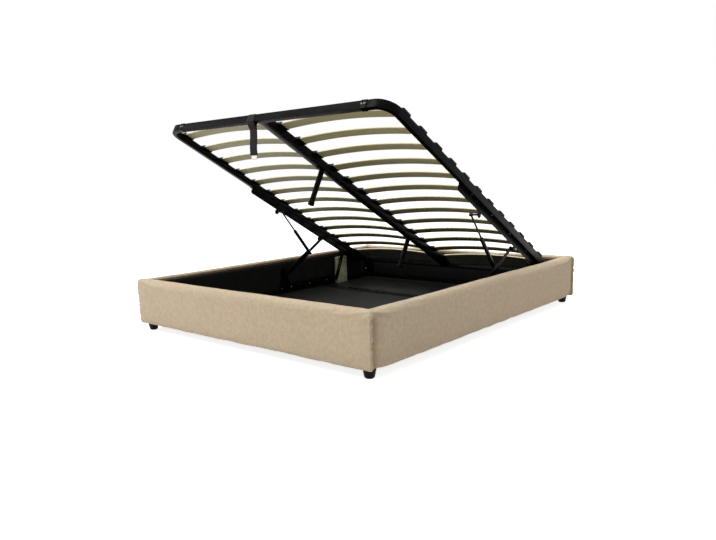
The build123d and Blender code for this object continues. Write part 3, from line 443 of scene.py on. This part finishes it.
# Polypropylene non-woven, point bonded: black, with dots about 2 mm apart drawn at 4 mm, and a low uneven shine
# where it lies flat on the board.
nonwoven, tree, place = start_finish("polypropylene_nonwoven")
dots = add(tree, "ShaderNodeTexVoronoi", Vector=place, Scale=1 / 0.004)
creases = add(tree, "ShaderNodeTexNoise", Vector=place, Scale=1 / 0.09, Detail=4.0)
height = add(tree, "ShaderNodeMath", operation="MULTIPLY_ADD", _0=creases, _1=6.0, _2=dots)
coat(
    nonwoven,
    Base_Color=between(tree, creases, 0.35, 0.72, linear("#070806"), linear("#121310")),
    Roughness=0.7,
    Specular_IOR_Level=0.12,
    relief=(0.5, 0.0015, height),
)
lining = make_lining()
lining.data.materials.append(nonwoven)
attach(lining, "base")
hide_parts("storage_lining")


# Floor frame: thin steel ledges along the boards and two folded steel bearers across the bed, welded and powder
# coated black. Their edges are rolled a little, so each one carries a thin line of light.
def ease_node(node, radius, finish, body):
    """Copies a CAD node, rounds its sharp edges, and lets the copy stand for the node."""
    shape = bmesh.new()
    shape.from_mesh(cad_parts[node].data)
    bmesh.ops.remove_doubles(shape, verts=shape.verts, dist=2e-6)
    bmesh.ops.dissolve_limit(shape, angle_limit=math.radians(1), verts=shape.verts, edges=shape.edges)
    corner = 35
    sharp = [edge for edge in shape.edges if edge.is_manifold and edge.calc_face_angle() > math.radians(corner)]
    bmesh.ops.bevel(shape, geom=sharp, offset=radius, segments=2, profile=0.6, affect="EDGES", clamp_overlap=True)
    shade(shape, corner)
    piece = add_shape("finished_" + node, shape)
    piece.data.materials.append(finish)
    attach(piece, body)
    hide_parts(node)


# Mild steel, electrostatic powder coat, semi gloss black: a fine orange peel about 0.7 mm across, drawn at 2 mm,
# and faint dull rub marks a few centimetres long from handling.
powder_coat, tree, place = start_finish("steel_powder_coated_black")
peel = add(tree, "ShaderNodeTexNoise", Vector=place, Scale=1 / 0.002, Detail=1.0)
rubs = add(tree, "ShaderNodeTexNoise", Vector=place, Scale=1 / 0.05, Detail=5.0)
coat(
    powder_coat,
    Base_Color=between(tree, rubs, 0.45, 0.75, linear("#040404"), linear("#0B0C0B")),
    Roughness=add(tree, "ShaderNodeMapRange", Value=rubs, _1=0.3, _2=0.75, _3=0.22, _4=0.4),
    Specular_IOR_Level=0.035,
    relief=(0.12, 0.0004, peel),
)
for name in ("floor_ledges", "front_floor_bearer", "rear_floor_bearer"):
    ease_node(name, 0.0007, powder_coat, "base")


# Floor panels: three thin hardboards with a black faced upper side, dropped onto the ledges and bearers. They
# bow a little and show dull scuffs where bedding is pushed over them. Along the bearers the boards carry a strip of
# painted shadow, near black and duller, for the shade in the gap beside each bearer.
floor_board, tree, place = start_finish("hardboard_black_faced")
drawn_out = add(tree, "ShaderNodeMapping", Vector=place, Scale=(0.35, 1.6, 1.0))
scuffs = add(tree, "ShaderNodeTexNoise", Vector=drawn_out, Scale=1 / 0.06, Detail=6.0)
sag = add(tree, "ShaderNodeTexNoise", Vector=place, Scale=1 / 0.5, Detail=1.0)
height = add(tree, "ShaderNodeMath", operation="MULTIPLY_ADD", _0=sag, _1=8.0, _2=scuffs)
parts = add(tree, "ShaderNodeSeparateXYZ", Vector=place).outputs
reach = add(tree, "ShaderNodeMath", operation="ABSOLUTE", _0=parts["Y"])
bearer_reach, shadow_strip_edge, shadow_strip_end = 0.434, 0.048, 0.05
past_bearer = add(tree, "ShaderNodeMath", operation="SUBTRACT", _0=reach, _1=bearer_reach)
from_bearer = add(tree, "ShaderNodeMath", operation="ABSOLUTE", _0=past_bearer)
board = between(tree, scuffs, 0.4, 0.75, linear("#090A08"), linear("#161712"))
coat(
    floor_board,
    # Painted shadow: near each bearer the board's colour turns near black and its roughness rises.
    Base_Color=between(tree, from_bearer, shadow_strip_edge, shadow_strip_end, linear("#020202"), board),
    Roughness=add(tree, "ShaderNodeMapRange", Value=from_bearer, _1=shadow_strip_edge, _2=shadow_strip_end, _3=0.95, _4=0.5),
    Specular_IOR_Level=0.1,
    relief=(0.3, 0.002, height),
)
for name in ("front_floor_panel", "middle_floor_panel", "rear_floor_panel"):
    ease_node(name, 0.0006, floor_board, "base")


# Corner feet: four round black plastic feet, screwed up into the corners. Each has a straight collar, a shallow
# groove, a tapered body and a rolled sole.
def finish_model(name, shape):
    """A model to be copied, smooth between its sharp edges."""
    bmesh.ops.recalc_face_normals(shape, faces=shape.faces)
    shade(shape, 38)
    return add_shape(name, shape)


def turn_profile(name, profile, sides=40):
    """A closed turned shape on the Z axis from a profile of (radius, height) points that starts and ends on it."""
    shape = bmesh.new()
    rings = []
    for radius, height in profile:
        if radius == 0:
            rings.append([shape.verts.new((0, 0, height))])
        else:
            rings.append([shape.verts.new((radius * math.cos(math.tau * side / sides),
                                           radius * math.sin(math.tau * side / sides), height))
                          for side in range(sides)])
    for low, high in zip(rings, rings[1:]):
        for side in range(sides):
            after = (side + 1) % sides
            corners = [low[side % len(low)], low[after % len(low)], high[after % len(high)], high[side % len(high)]]
            shape.faces.new(list(dict.fromkeys(corners)))
    return finish_model(name, shape)


def copies_tree():
    """Nodes that put a copy of a model on every point, give each copy its own tone and set its finish."""
    tree = bpy.data.node_groups.new("copies_on_points", "GeometryNodeTree")
    for name, kind in (("Points", "NodeSocketGeometry"), ("Model", "NodeSocketObject"), ("Turn", "NodeSocketVector"),
                       ("Finish", "NodeSocketMaterial"), ("Seed", "NodeSocketInt")):
        tree.interface.new_socket(name, in_out="INPUT", socket_type=kind)
    tree.interface.new_socket("Copies", in_out="OUTPUT", socket_type="NodeSocketGeometry")
    given = add(tree, "NodeGroupInput").outputs
    model = add(tree, "GeometryNodeObjectInfo", Object=given["Model"])
    placed = add(tree, "GeometryNodeInstanceOnPoints", Points=given["Points"], Instance=model.outputs["Geometry"],
                 Rotation=given["Turn"])
    tone = add(tree, "FunctionNodeRandomValue", data_type="FLOAT", Seed=given["Seed"])
    toned = add(tree, "GeometryNodeStoreNamedAttribute", data_type="FLOAT", domain="INSTANCE",
                Geometry=placed, Name="tone", Value=tone.outputs[1])
    real = add(tree, "GeometryNodeRealizeInstances", Geometry=toned)
    dressed = add(tree, "GeometryNodeSetMaterial", Geometry=real, Material=given["Finish"])
    add(tree, "NodeGroupOutput", Copies=dressed)
    return tree


copies = copies_tree()
level = (0, 0, 0)


def set_out(model, finish, batches, seed=1):
    """Plain meshes, one for each batch of (points, turn), with a copy of the model at every point. The model goes."""
    made = []
    for points, turn in batches:
        mesh = bpy.data.meshes.new("points")
        mesh.from_pydata(points, [], [])
        holder = add_object("copies_holder", mesh)
        spread = holder.modifiers.new("copies", "NODES")
        spread.node_group = copies
        given = {"Model": model, "Turn": turn, "Finish": finish, "Seed": seed}
        for item in copies.interface.items_tree:
            if item.in_out == "INPUT" and item.name in given:
                spread[item.identifier] = given[item.name]
        graph = bpy.context.evaluated_depsgraph_get()
        graph.update()
        made.append(bpy.data.meshes.new_from_object(holder.evaluated_get(graph), depsgraph=graph))
        bpy.data.objects.remove(holder)
    bpy.data.objects.remove(model)
    return made


def join_up(name, meshes, body, replaced, place=Matrix.Identity(4)):
    """Joins plain meshes into one piece, in place and on its body if it has just one, which stands for CAD nodes."""
    whole = bmesh.new()
    finishes = []
    for mesh in meshes:
        shift = len(finishes)
        finishes += list(mesh.materials)
        start = len(whole.faces)
        whole.from_mesh(mesh)
        whole.faces.ensure_lookup_table()
        for face in whole.faces[start:]:
            face.material_index += shift
    whole.transform(place)
    piece = add_shape(name, whole)
    for finish in finishes:
        piece.data.materials.append(finish)
    if body:
        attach(piece, body)
    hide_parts(*replaced)
    return piece


# Polypropylene, injection moulded: black with a fine spark grain, drawn at 1.5 mm, and a soft broad shine.
black_plastic, tree, place = start_finish("polypropylene_moulded_black")
grain = add(tree, "ShaderNodeTexNoise", Vector=place, Scale=1 / 0.0015, Detail=2.0)
coat(
    black_plastic,
    Base_Color=between(tree, grain, 0.3, 0.7, linear("#090909"), linear("#111111")),
    Roughness=0.38,
    Specular_IOR_Level=0.12,
    relief=(0.2, 0.0003, grain),
)
foot = turn_profile("foot_model", [
    (0, 0), (0.0125, 0), (0.0172, 0.0011), (0.021, 0.0042), (0.0237, 0.009), (0.0281, 0.0335), (0.0275, 0.0345),
    (0.0275, 0.0362), (0.0298, 0.0368), (0.03, 0.0446), (0.0294, 0.0449), (0, 0.0449)])
foot_x, foot_y = 0.805, 1.005
foot_spots = [(x, y, 0) for x in (-foot_x, foot_x) for y in (-foot_y, foot_y)]
feet = set_out(foot, black_plastic, [(foot_spots, level)])
join_up("turned_feet", feet, "base", ["corner_feet"])
ease_node("centre_feet", 0.0025, black_plastic, "base")


# Corner brackets: folded steel plates in the four inner corners, with pan head screws through the lining.
ease_node("corner_brackets", 0.0009, powder_coat, "base")

# Carbon steel screws, black zinc plated: dark grey, lighter and darker in patches a few millimetres across.
black_zinc, tree, place = start_finish("steel_black_zinc")
film = add(tree, "ShaderNodeTexNoise", Vector=place, Scale=1 / 0.004, Detail=3.0)
coat(
    black_zinc,
    Base_Color=between(tree, film, 0.35, 0.7, linear("#3A3B3C"), linear("#6B6C6D")),
    Metallic=1.0,
    Roughness=0.36,
)
screw = turn_profile("screw_model", [
    (0, -0.0001), (0.0067, -0.0001), (0.0069, 0.0006), (0.0062, 0.0022), (0.0046, 0.0032), (0.0031, 0.0035),
    (0.0028, 0.0019), (0, 0.0017)], 24)
plate_face, plate_end, plate_row, plate_shares = 0.794, 0.5854, 0.088, (0.04, 0.2, 0.52, 0.84)
bracket_face, bracket_row_y, bracket_middle, bracket_half_pitch = 0.795, 0.966, 0.155, 0.04
batches = []
for side, turn in ((-1, math.pi / 2), (1, -math.pi / 2)):
    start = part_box("left_base_plate" if side < 0 else "right_base_plate")[0].y
    spots = [(side * plate_face, start + (plate_end - start) * share, plate_row) for share in plate_shares]
    spots += [(side * bracket_face, end * bracket_row_y, bracket_middle + step * bracket_half_pitch)
              for end in (-1, 1) for step in (-1, 1)]
    batches.append((spots, (0, turn, 0)))
join_up("frame_screw_heads", set_out(screw, black_zinc, batches), "base", ["frame_screws"])


# Mechanism blocks: planed softwood blocks screwed inside the side rails behind the rear links, left bare, with
# greenish grey resin streaks along the upright grain.
block_wood, tree, place = start_finish("spruce_planed_bare")
upright = add(tree, "ShaderNodeMapping", Vector=place, Scale=(1.0, 1.0, 0.12))
streaks = add(tree, "ShaderNodeTexNoise", Vector=upright, Scale=1 / 0.008, Detail=5.0)
stains = add(tree, "ShaderNodeTexNoise", Vector=place, Scale=1 / 0.05, Detail=3.0)
wood = between(tree, streaks, 0.35, 0.68, linear("#8F8B6B"), linear("#C9C6AE"))
coat(
    block_wood,
    Base_Color=between(tree, stains, 0.42, 0.72, wood, linear("#7C7A52")),
    Roughness=0.72,
    relief=(0.2, 0.0005, streaks),
)
for name in ("left_mechanism_block", "right_mechanism_block"):
    ease_node(name, 0.001, block_wood, "base")


# Lift mechanism: base plates, lift arms and rear links, stamped from flat steel bar and powder coated black, and
# turning on riveted pins.
for side in ("left", "right"):
    ease_node(side + "_base_plate", 0.0008, powder_coat, "base")
    ease_node(side + "_lift_arm", 0.0009, powder_coat, "lift_arms")
    ease_node(side + "_rear_link", 0.0009, powder_coat, "rear_links")


# Gas struts: a gloss black tube with a crimped gland, and a ground steel rod that slides in it. The rod carries a
# film of oil, so it shines along its whole length.
strut_enamel, tree, place = start_finish("steel_tube_gloss_enamel")
dust = add(tree, "ShaderNodeTexNoise", Vector=place, Scale=1 / 0.02, Detail=4.0)
coat(
    strut_enamel,
    Base_Color=between(tree, dust, 0.4, 0.75, linear("#080808"), linear("#131313")),
    Roughness=add(tree, "ShaderNodeMapRange", Value=dust, _1=0.3, _2=0.8, _3=0.16, _4=0.34),
    Specular_IOR_Level=0.15,
)
rod_steel, tree, place = start_finish("steel_rod_ground_nitrided")
film = add(tree, "ShaderNodeTexNoise", Vector=place, Scale=1 / 0.01, Detail=3.0)
coat(
    rod_steel,
    Base_Color=between(tree, film, 0.3, 0.7, linear("#1C1D1F"), linear("#303234")),
    Metallic=1.0,
    Roughness=0.22,
)
for side in ("left", "right"):
    ease_node(side + "_strut_cylinder", 0.0006, strut_enamel, "strut_cylinders")
    ease_node(side + "_strut_rod", 0.0004, rod_steel, "strut_rods")


# Lid frame: rectangular steel tube, bent round the two foot corners, closed by a foot bar with sleeved joints, a
# head bar and a centre rail, with angle irons under the sides. Tube of this kind has rolled edges about 3 mm.
for name, radius in (("lid_left_rail", 0.0034), ("lid_right_rail", 0.0034), ("lid_foot_bar", 0.0022),
                     ("lid_head_bar", 0.0034), ("lid_centre_rail", 0.0026), ("lid_left_angle", 0.0009),
                     ("lid_right_angle", 0.0009)):
    ease_node(name, radius, powder_coat, "lid")

# The lid's own frame starts at the middle of the foot bar, with Y towards the head and Z up through the slats.
lid_tilt = math.radians(28.5)
bar_centre = Vector((0, -0.801023, 1.128031))
lid_place = Matrix.Translation(bar_centre) @ Matrix.Rotation(-lid_tilt, 4, "X")


# Lid bolts: hexagon head bolts with a pressed washer, in the joint sleeves of the foot bar and under the flanges
# of the angle irons.
bolt = turn_profile("bolt_model", [
    (0, 0), (0.0068, 0), (0.0068, 0.0008), (0.0061, 0.0012), (0.0058, 0.0036), (0.0048, 0.004), (0.0034, 0.0041),
    (0.003, 0.0036), (0, 0.0035)], 6)
angle_start, angle_end, angle_bolts = 0.671, 1.88004, 5
flange_x, flange_underside = 0.7725, -0.022
bolt_pitch = (angle_end - angle_start) / angle_bolts
reaches = [angle_start + bolt_pitch * (step + 0.5) for step in range(angle_bolts)]
flange_spots = [(side * flange_x, reach, flange_underside) for side in (-1, 1) for reach in reaches]
corner_bend, sleeve_length, sleeve_inset = 0.075, 0.035, 0.016
collar_x, collar_half_pitch, bar_front = flange_x - corner_bend - sleeve_length - sleeve_inset, 0.008, -0.014
collar_spots = [(side * (collar_x + step * collar_half_pitch), bar_front, 0) for side in (-1, 1) for step in (-1, 1)]
bolts = set_out(bolt, black_zinc, [(flange_spots, (math.pi, 0, 0)), (collar_spots, (math.pi / 2, 0, 0))])
join_up("lid_bolt_heads", bolts, "lid", ["lid_bolts"], lid_place)


# Support legs: two painted steel posts under the centre rail, each with a welded top plate and a plastic tip that
# meets the floor bearer when the bed is closed.
ease_node("support_legs", 0.0011, powder_coat, "lid")


# Slats: thirteen rows of two strips, pressed from layers of birch veneer in a bow and sealed with a thin matt
# lacquer. Their long edges are rounded, and the veneer layers show there as fine lines.
def bow_slat(start, end, flat, bow, width, thickness):
    """One slat along X on its seat height, flat for a short way at both ends and bowed between."""
    steps = 30
    arch_start, arch_end = start + flat, end - flat
    half = (arch_end - arch_start) / 2
    radius = (half * half + bow * bow) / (2 * bow)
    line = [(start, 0), (start + flat * 0.5, 0)]
    for step in range(steps + 1):
        x = arch_start + (arch_end - arch_start) * step / steps
        line.append((x, math.sqrt(radius * radius - (x - arch_start - half) ** 2) - (radius - bow)))
    line += [(end - flat * 0.5, 0), (end, 0)]
    round_edge = thickness * 0.36
    section = []
    for centre_y, centre_z, first in ((width / 2 - round_edge, thickness - round_edge, 0),
                                      (-width / 2 + round_edge, thickness - round_edge, 90),
                                      (-width / 2 + round_edge, round_edge, 180),
                                      (width / 2 - round_edge, round_edge, 270)):
        for turn in (0, 30, 60, 90):
            angle = math.radians(first + turn)
            section.append((centre_y + round_edge * math.cos(angle), centre_z + round_edge * math.sin(angle)))
    shape = bmesh.new()
    rim = shape.verts.layers.float.new("rim")
    layer = shape.verts.layers.float.new("layer")
    rings = loft(shape, [[(x, y, rise + z) for y, z in section] for x, rise in line])
    for face in shape.faces:
        face.smooth = True
    for ring in rings:
        for vertex, (y, z) in zip(ring, section):
            vertex[rim] = 1.0 if abs(y) > width / 2 - round_edge * 0.6 else 0.0
            vertex[layer] = z / thickness
    return close_shell("slat_model", shape, rings)


# Birch plywood, matt lacquered: straight grain 1 to 2 mm wide along the slat, drawn at 3 mm, every slat a little
# lighter or greyer than the next, and paler on its sanded long edges, where the seven veneers show as lines.
slat_birch, tree, place = start_finish("birch_plywood_lacquered")
along = add(tree, "ShaderNodeMapping", Vector=place, Scale=(0.05, 1.0, 1.0))
fibres = add(tree, "ShaderNodeTexNoise", Vector=along, Scale=1 / 0.0035, Detail=4.0)
clouds = add(tree, "ShaderNodeTexNoise", Vector=along, Scale=1 / 0.03, Detail=3.0)
tone = add(tree, "ShaderNodeAttribute", attribute_name="tone").outputs["Fac"]
wood = between(tree, fibres, 0.32, 0.7, linear("#8F8762"), linear("#A69E7A"))
greyer = add(tree, "ShaderNodeMath", operation="MULTIPLY", _0=tone, _1=0.4)
wood = add(tree, "ShaderNodeMix", data_type="RGBA", _0=greyer, _6=wood, _7=linear("#827B59"))
face = between(tree, clouds, 0.35, 0.75, wood.outputs[2], linear("#9D9572"))
rim = add(tree, "ShaderNodeAttribute", attribute_name="rim").outputs["Fac"]
layer = add(tree, "ShaderNodeAttribute", attribute_name="layer").outputs["Fac"]
veneer_count = 7.0
counted = add(tree, "ShaderNodeMath", operation="MULTIPLY", _0=layer, _1=veneer_count)
veneers = add(tree, "ShaderNodeMath", operation="PINGPONG", _0=counted, _1=1.0)
edge = between(tree, veneers, 0.1, 0.9, linear("#C9C19F"), linear("#E4DDC2"))
coat(
    slat_birch,
    Base_Color=between(tree, rim, 0.3, 0.8, face, edge),
    Roughness=0.5,
    Specular_IOR_Level=0.3,
    relief=(0.12, 0.0004, fibres),
)
slat_start, slat_end = 0.0073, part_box("slat_row_01")[1].x
slat_flat, slat_bow, slat_width, slat_thickness, slat_rise = 0.032, 0.022, 0.055, 0.008, 0.0213
slat_rows, first_reach, row_pitch = 13, 0.118, 0.143
slat_reaches = [first_reach + row_pitch * row for row in range(slat_rows)]
slat_spots = [(0, reach, slat_rise) for reach in slat_reaches]
facing = {-1: (0, 0, math.pi), 1: level}
slats = []
for side, seed in ((-1, 3), (1, 11)):
    model = bow_slat(slat_start, slat_end, slat_flat, slat_bow, slat_width, slat_thickness)
    slats += set_out(model, slat_birch, [(slat_spots, facing[side])], seed)
row_names = ["slat_row_%02d" % (row + 1) for row in range(slat_rows)]
join_up("bowed_slats", slats, "lid", row_names, lid_place)


# Slat holders: black plastic pockets with a flared mouth and soft corners. Single ones are clipped over the side
# tubes, so that the row of them makes a bumpy edge, and pairs joined by a low bridge sit on the centre rail.
def pocket_ring(x, half_width, low, high, softness):
    """Points round one section of a pocket at x, flat at the bottom and with rounded upper corners."""
    outline = (
        [(-half_width, low), (-half_width, high - softness)]
        + arc((-half_width + softness, high - softness), softness, 180, 90, 4)
        + [(half_width - softness, high)]
        + arc((half_width - softness, high - softness), softness, 90, 0, 4)
        + [(half_width, low)]
    )
    return [(x, y, z) for y, z in outline]


def mould(name, rings):
    """A model to be copied, made of rings of points and closed at both ends."""
    shape = bmesh.new()
    made = loft(shape, rings)
    shape.faces.new(made[0])
    shape.faces.new(made[-1])
    return finish_model(name, shape)


def mould_pocket(depth, end_round, slot_end):
    """A pocket from its mouth at 0 to its closed end at depth along X, with a slot for the slat inside."""
    soft, slot_soft = 0.0026, 0.0008
    rings = [pocket_ring(x, slot_half, slot_low, slot_high, slot_soft) for x in (slot_end, 0)]
    for x, flare in ((0, 0.0006), (0.0012, 0.001), (0.004, 0)):
        rings.append(pocket_ring(x, pocket_half + flare, 0, pocket_top + flare, soft))
    for step in range(7):
        turn = math.radians(15 * step)
        inward = end_round * (1 - math.cos(turn))
        x = depth - end_round * (1 - math.sin(turn))
        rings.append(pocket_ring(x, pocket_half - inward, 0, pocket_top - inward * 0.5, soft))
    return mould("pocket_model", rings)


tube_top = 0.019
slot_half, slot_low, slot_high = 0.0278, 0.002, 0.0106
pocket_half, pocket_top = 0.0308, 0.0131
side_depth, side_round, side_slot = 0.035, 0.0085, 0.0315
centre_mouth, centre_depth, centre_round, centre_slot = 0.039, 0.0386, 0.004, 0.032
bridge_half, bridge_top, bridge_soft, bridge_reach = 0.024, 0.007, 0.002, 0.0035
for side, name in ((-1, "left_slat_holders"), (1, "right_slat_holders")):
    box_low, box_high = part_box(name)
    outermost = box_high.x if side > 0 else -box_low.x
    pocket = mould_pocket(side_depth, side_round, side_slot)
    spots = [(side * (outermost - side_depth), reach, tube_top) for reach in slat_reaches]
    pockets = set_out(pocket, black_plastic, [(spots, facing[side])])
    join_up(name.replace("slat_holders", "slat_pockets"), pockets, "lid", [name], lid_place)
pocket = mould_pocket(centre_depth, centre_round, centre_slot)
halves = set_out(pocket, black_plastic, [
    ([(-side * centre_mouth, reach, tube_top) for reach in slat_reaches], facing[side]) for side in (-1, 1)])
bridge = mould("bridge_model", [pocket_ring(x, bridge_half, 0, bridge_top, bridge_soft)
                                for x in (-bridge_reach, bridge_reach)])
bridges = set_out(bridge, black_plastic, [([(0, reach, tube_top) for reach in slat_reaches], level)])
join_up("centre_slat_pockets", halves + bridges, "lid", ["centre_slat_holders"], lid_place)


# Pull strap: black polyester webbing looped round the foot bar, sewn together below it and left to hang, with a
# small bare white tag sewn in at its end.
strap_low, strap_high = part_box("pull_strap")
strap_middle = (strap_low.x + strap_high.x) / 2
strap_half = 0.0267


def ribbon(name, line, half_width, thickness, finish, across_count=6):
    """Mesh of a closed flat band that follows a line in the YZ plane, with softly rolled selvedges."""
    rings, lengths = [], [0.0]
    for index, point in enumerate(line):
        ahead, behind = line[min(index + 1, len(line) - 1)], line[max(index - 1, 0)]
        tangent = (ahead - behind).normalized()
        normal = Vector((0, -tangent.z, tangent.y))
        if index:
            lengths.append(lengths[-1] + (point - line[index - 1]).length)
        ring = []
        for face in (1, -1):
            for step in range(across_count + 1):
                share = (2 * step / across_count - 1) * face
                half = thickness / 2 * (1 if abs(share) < 1 else 0.35)
                ring.append(point + Vector((strap_middle + share * half_width, 0, 0)) + normal * half * face)
        rings.append(ring)

    def on_cloth(row, column):
        across = column % (across_count + 1)
        return (2 * across / across_count - 1) * half_width, lengths[row]

    shape = bmesh.new()
    band = close_shell(name, shape, loft(shape, rings, on_cloth))
    mesh = band.data
    mesh.materials.append(finish)
    bpy.data.objects.remove(band)
    return mesh


# Polyester webbing, woven: black ribs across the strap about 1.5 mm apart, drawn at 3 mm, with a dull shine.
webbing, tree, _ = start_finish("polyester_webbing_black")
place = add(tree, "ShaderNodeUVMap", uv_map="cloth").outputs["UV"]
ribs, cords = [add(tree, "ShaderNodeTexWave", Vector=place, bands_direction=way, Scale=1 / (spacing * wave_turns),
                   Distortion=0.3).outputs["Fac"] for way, spacing in (("Y", 0.003), ("X", 0.004))]
weave = add(tree, "ShaderNodeMath", operation="MULTIPLY", _0=ribs, _1=cords)
coat(
    webbing,
    Base_Color=between(tree, weave, 0.0, 0.9, linear("#080808"), linear("#191919")),
    Roughness=0.72,
    Specular_IOR_Level=0.2,
    relief=(0.6, 0.0008, weave),
)
# The loop goes round the bar's four edges and comes together in the knot below it, where the tail starts.
turned = Matrix.Rotation(-lid_tilt, 3, "X")
loop_y, loop_z, loop_bend = 0.0145, 0.021, 0.004
edge_y, edge_z = loop_y - loop_bend, loop_z - loop_bend
knot_front, knot_drop, knot_half, tag_shown = 0.004, 0.045, 0.0012, 0.019
single_webbing, doubled_webbing, overlap = 0.0016, 0.0034, 0.004
tail_drift, drift_turn, tail_wave, wave_turn, tail_steps = 0.003, 3.6, 0.0022, 6.5, 26
loop_line = []
for centre_y, centre_z, first, spread in ((edge_y, -edge_z, -60, 60), (edge_y, edge_z, 0, 90),
                                          (-edge_y, edge_z, 90, 90), (-edge_y, -edge_z, 180, 60)):
    for step in range(6):
        angle = math.radians(first + spread * step / 5)
        spot = Vector((0, centre_y + loop_bend * math.cos(angle), centre_z + loop_bend * math.sin(angle)))
        loop_line.append(bar_centre + turned @ spot)
knot = Vector((0, bar_centre.y - knot_front, bar_centre.z - knot_drop))
loop_line = [knot + Vector((0, knot_half, 0))] + loop_line + [knot + Vector((0, -knot_half, 0))]
strap_loop = ribbon("strap_loop", loop_line, strap_half, single_webbing, webbing)
tail_end = strap_low.z + tag_shown
tail = []
for step in range(tail_steps + 1):
    share = step / tail_steps
    height = knot.z + overlap + (tail_end - knot.z - overlap) * share
    wave = tail_wave * math.sin(share * wave_turn) * share
    tail.append(Vector((tail_drift * math.cos(share * drift_turn), knot.y + wave, height)))
strap_tail = ribbon("strap_tail", tail, strap_half, doubled_webbing, webbing)

# White satin tag, left bare: a fine shiny weave with a dark overcast thread round its border.
satin, tree, _ = start_finish("polyester_satin_tag_white")
place = add(tree, "ShaderNodeUVMap", uv_map="cloth").outputs["UV"]
picks = add(tree, "ShaderNodeTexWave", Vector=place, bands_direction="Y", Scale=1 / (0.0012 * wave_turns),
            Distortion=0.4)
spots = add(tree, "ShaderNodeSeparateXYZ", Vector=place).outputs
tag_half, tag_length, tag_thickness, tag_steps = 0.022, 0.0235, 0.001, 6
from_side = add(tree, "ShaderNodeMath", operation="ABSOLUTE", _0=spots["X"])
side_left = add(tree, "ShaderNodeMath", operation="SUBTRACT", _0=tag_half, _1=from_side)
end_left = add(tree, "ShaderNodeMath", operation="SUBTRACT", _0=tag_length, _1=spots["Y"])
border = add(tree, "ShaderNodeMath", operation="MINIMUM", _0=side_left, _1=end_left)
coat(
    satin,
    Base_Color=between(tree, border, 0.0012, 0.0016, linear("#55565A"), linear("#F4F3F0")),
    Roughness=0.5,
    relief=(0.2, 0.0004, picks.outputs["Fac"]),
)
tag_line = [Vector((tail[-1].x, tail[-1].y, tail_end + overlap - tag_length * step / tag_steps))
            for step in range(tag_steps + 1)]
strap_tag = ribbon("strap_tag", tag_line, tag_half, tag_thickness, satin)
strap = join_up("webbing_strap", [strap_loop, strap_tail, strap_tag], None, ["pull_strap"])
# The loop grips the bar and turns with it, and the hanging part keeps plumb below it.
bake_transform(strap)


# Floor, lamps and camera: a plain white floor that runs on into a white room, one broad soft lamp high on the left
# of the foot end, one straight above, and the room's own light round about.
floor_half = 30
floor_mesh = bpy.data.meshes.new("studio_floor")
floor_mesh.from_pydata([(x * floor_half, y * floor_half, 0) for x, y in ((-1, -1), (1, -1), (1, 1), (-1, 1))], [],
                       [(0, 1, 2, 3)])
studio_floor = add_object("studio_floor", floor_mesh)
# Matt white paint, rolled: the lamps fade with distance on a floor this wide, so the paint gives back to the eye
# what they miss further out. Near the bed it leaves only a trace of the soft shadow, and gloss sees less of it.
floor_paint, tree, place = start_finish("floor_matt_white")
diffuse = add(tree, "ShaderNodeBsdfDiffuse", Color=linear("#EFEFEE"))
distance = add(tree, "ShaderNodeVectorMath", operation="LENGTH", _0=place).outputs["Value"]
rays = add(tree, "ShaderNodeLightPath").outputs
glow_in_gloss, glow_seen, fade_start, fade_end = 0.42, 0.84, 1.4, 4.5
near = add(tree, "ShaderNodeMapRange", Value=rays["Is Camera Ray"], _3=glow_in_gloss, _4=glow_seen)
further = add(tree, "ShaderNodeMapRange", Value=distance, _1=fade_start, _2=fade_end, _3=near, _4=1.0)
seen = add(tree, "ShaderNodeMath", operation="MAXIMUM", _0=rays["Is Camera Ray"], _1=rays["Is Glossy Ray"])
lift = add(tree, "ShaderNodeMath", operation="MULTIPLY", _0=seen, _1=further)
glow = add(tree, "ShaderNodeEmission", Color=(1, 1, 1, 1), Strength=lift)
both = add(tree, "ShaderNodeAddShader", _0=diffuse, _1=glow)
tree.links.new(both.outputs[0], tree.nodes["Material Output"].inputs["Surface"])
floor_mesh.materials.append(floor_paint)

world = bpy.data.worlds.new("studio_room")
world.use_nodes = True
bpy.context.scene.world = world
tree = world.node_tree
tree.nodes["Background"].inputs["Color"].default_value = (1, 1, 1, 1)
# The room is white to the camera, in gloss and through glass too, and dimmer as a light.
room_light = 0.31
rays = add(tree, "ShaderNodeLightPath").outputs
plain = add(tree, "ShaderNodeMath", operation="MAXIMUM", _0=rays["Is Camera Ray"], _1=rays["Is Transmission Ray"])
seen = add(tree, "ShaderNodeMath", operation="MAXIMUM", _0=plain, _1=rays["Is Glossy Ray"])
strength = add(tree, "ShaderNodeMapRange", Value=seen, _3=room_light, _4=1.0)
tree.links.new(strength.outputs[0], tree.nodes["Background"].inputs["Strength"])

for name, place, aim, size, power in (
    ("key_lamp", (-2.1, -3.7, 4.7), (0, -0.6, 0.3), 3.0, 212),
    ("top_lamp", (0.3, 0.6, 5.2), (0.1, 0.1, 0.3), 2.6, 250),
):
    lamp = bpy.data.lights.new(name, "AREA")
    lamp.size = size
    lamp.energy = power
    holder = add_object(name, lamp)
    holder.location = place
    holder.rotation_euler = (Vector(aim) - Vector(place)).to_track_quat("-Z", "Y").to_euler()

camera_data = bpy.data.cameras.new("camera")
camera = add_object("camera", camera_data)
bpy.context.scene.camera = camera
picture_width, picture_height, sensor = 716, 540, 36
focal, middle_x, middle_y = 642.6, 340.6, 318.1
yaw, pitch, roll = math.radians(41.42), math.radians(-12.21), math.radians(1.75)
camera_data.sensor_width = sensor
camera_data.lens = focal * sensor / picture_width
camera_data.shift_x = -(middle_x - picture_width / 2) / picture_width
camera_data.shift_y = (middle_y - picture_height / 2) / picture_width
camera.location = (2.440, -3.032, 0.826)
looking = Matrix.Rotation(yaw, 3, "Z") @ Matrix.Rotation(pitch, 3, "X") @ Matrix.Rotation(roll, 3, "Y")
camera.rotation_euler = (looking @ Matrix.Rotation(math.radians(90), 3, "X")).to_euler()

bpy.context.scene.view_settings.view_transform = "Standard"
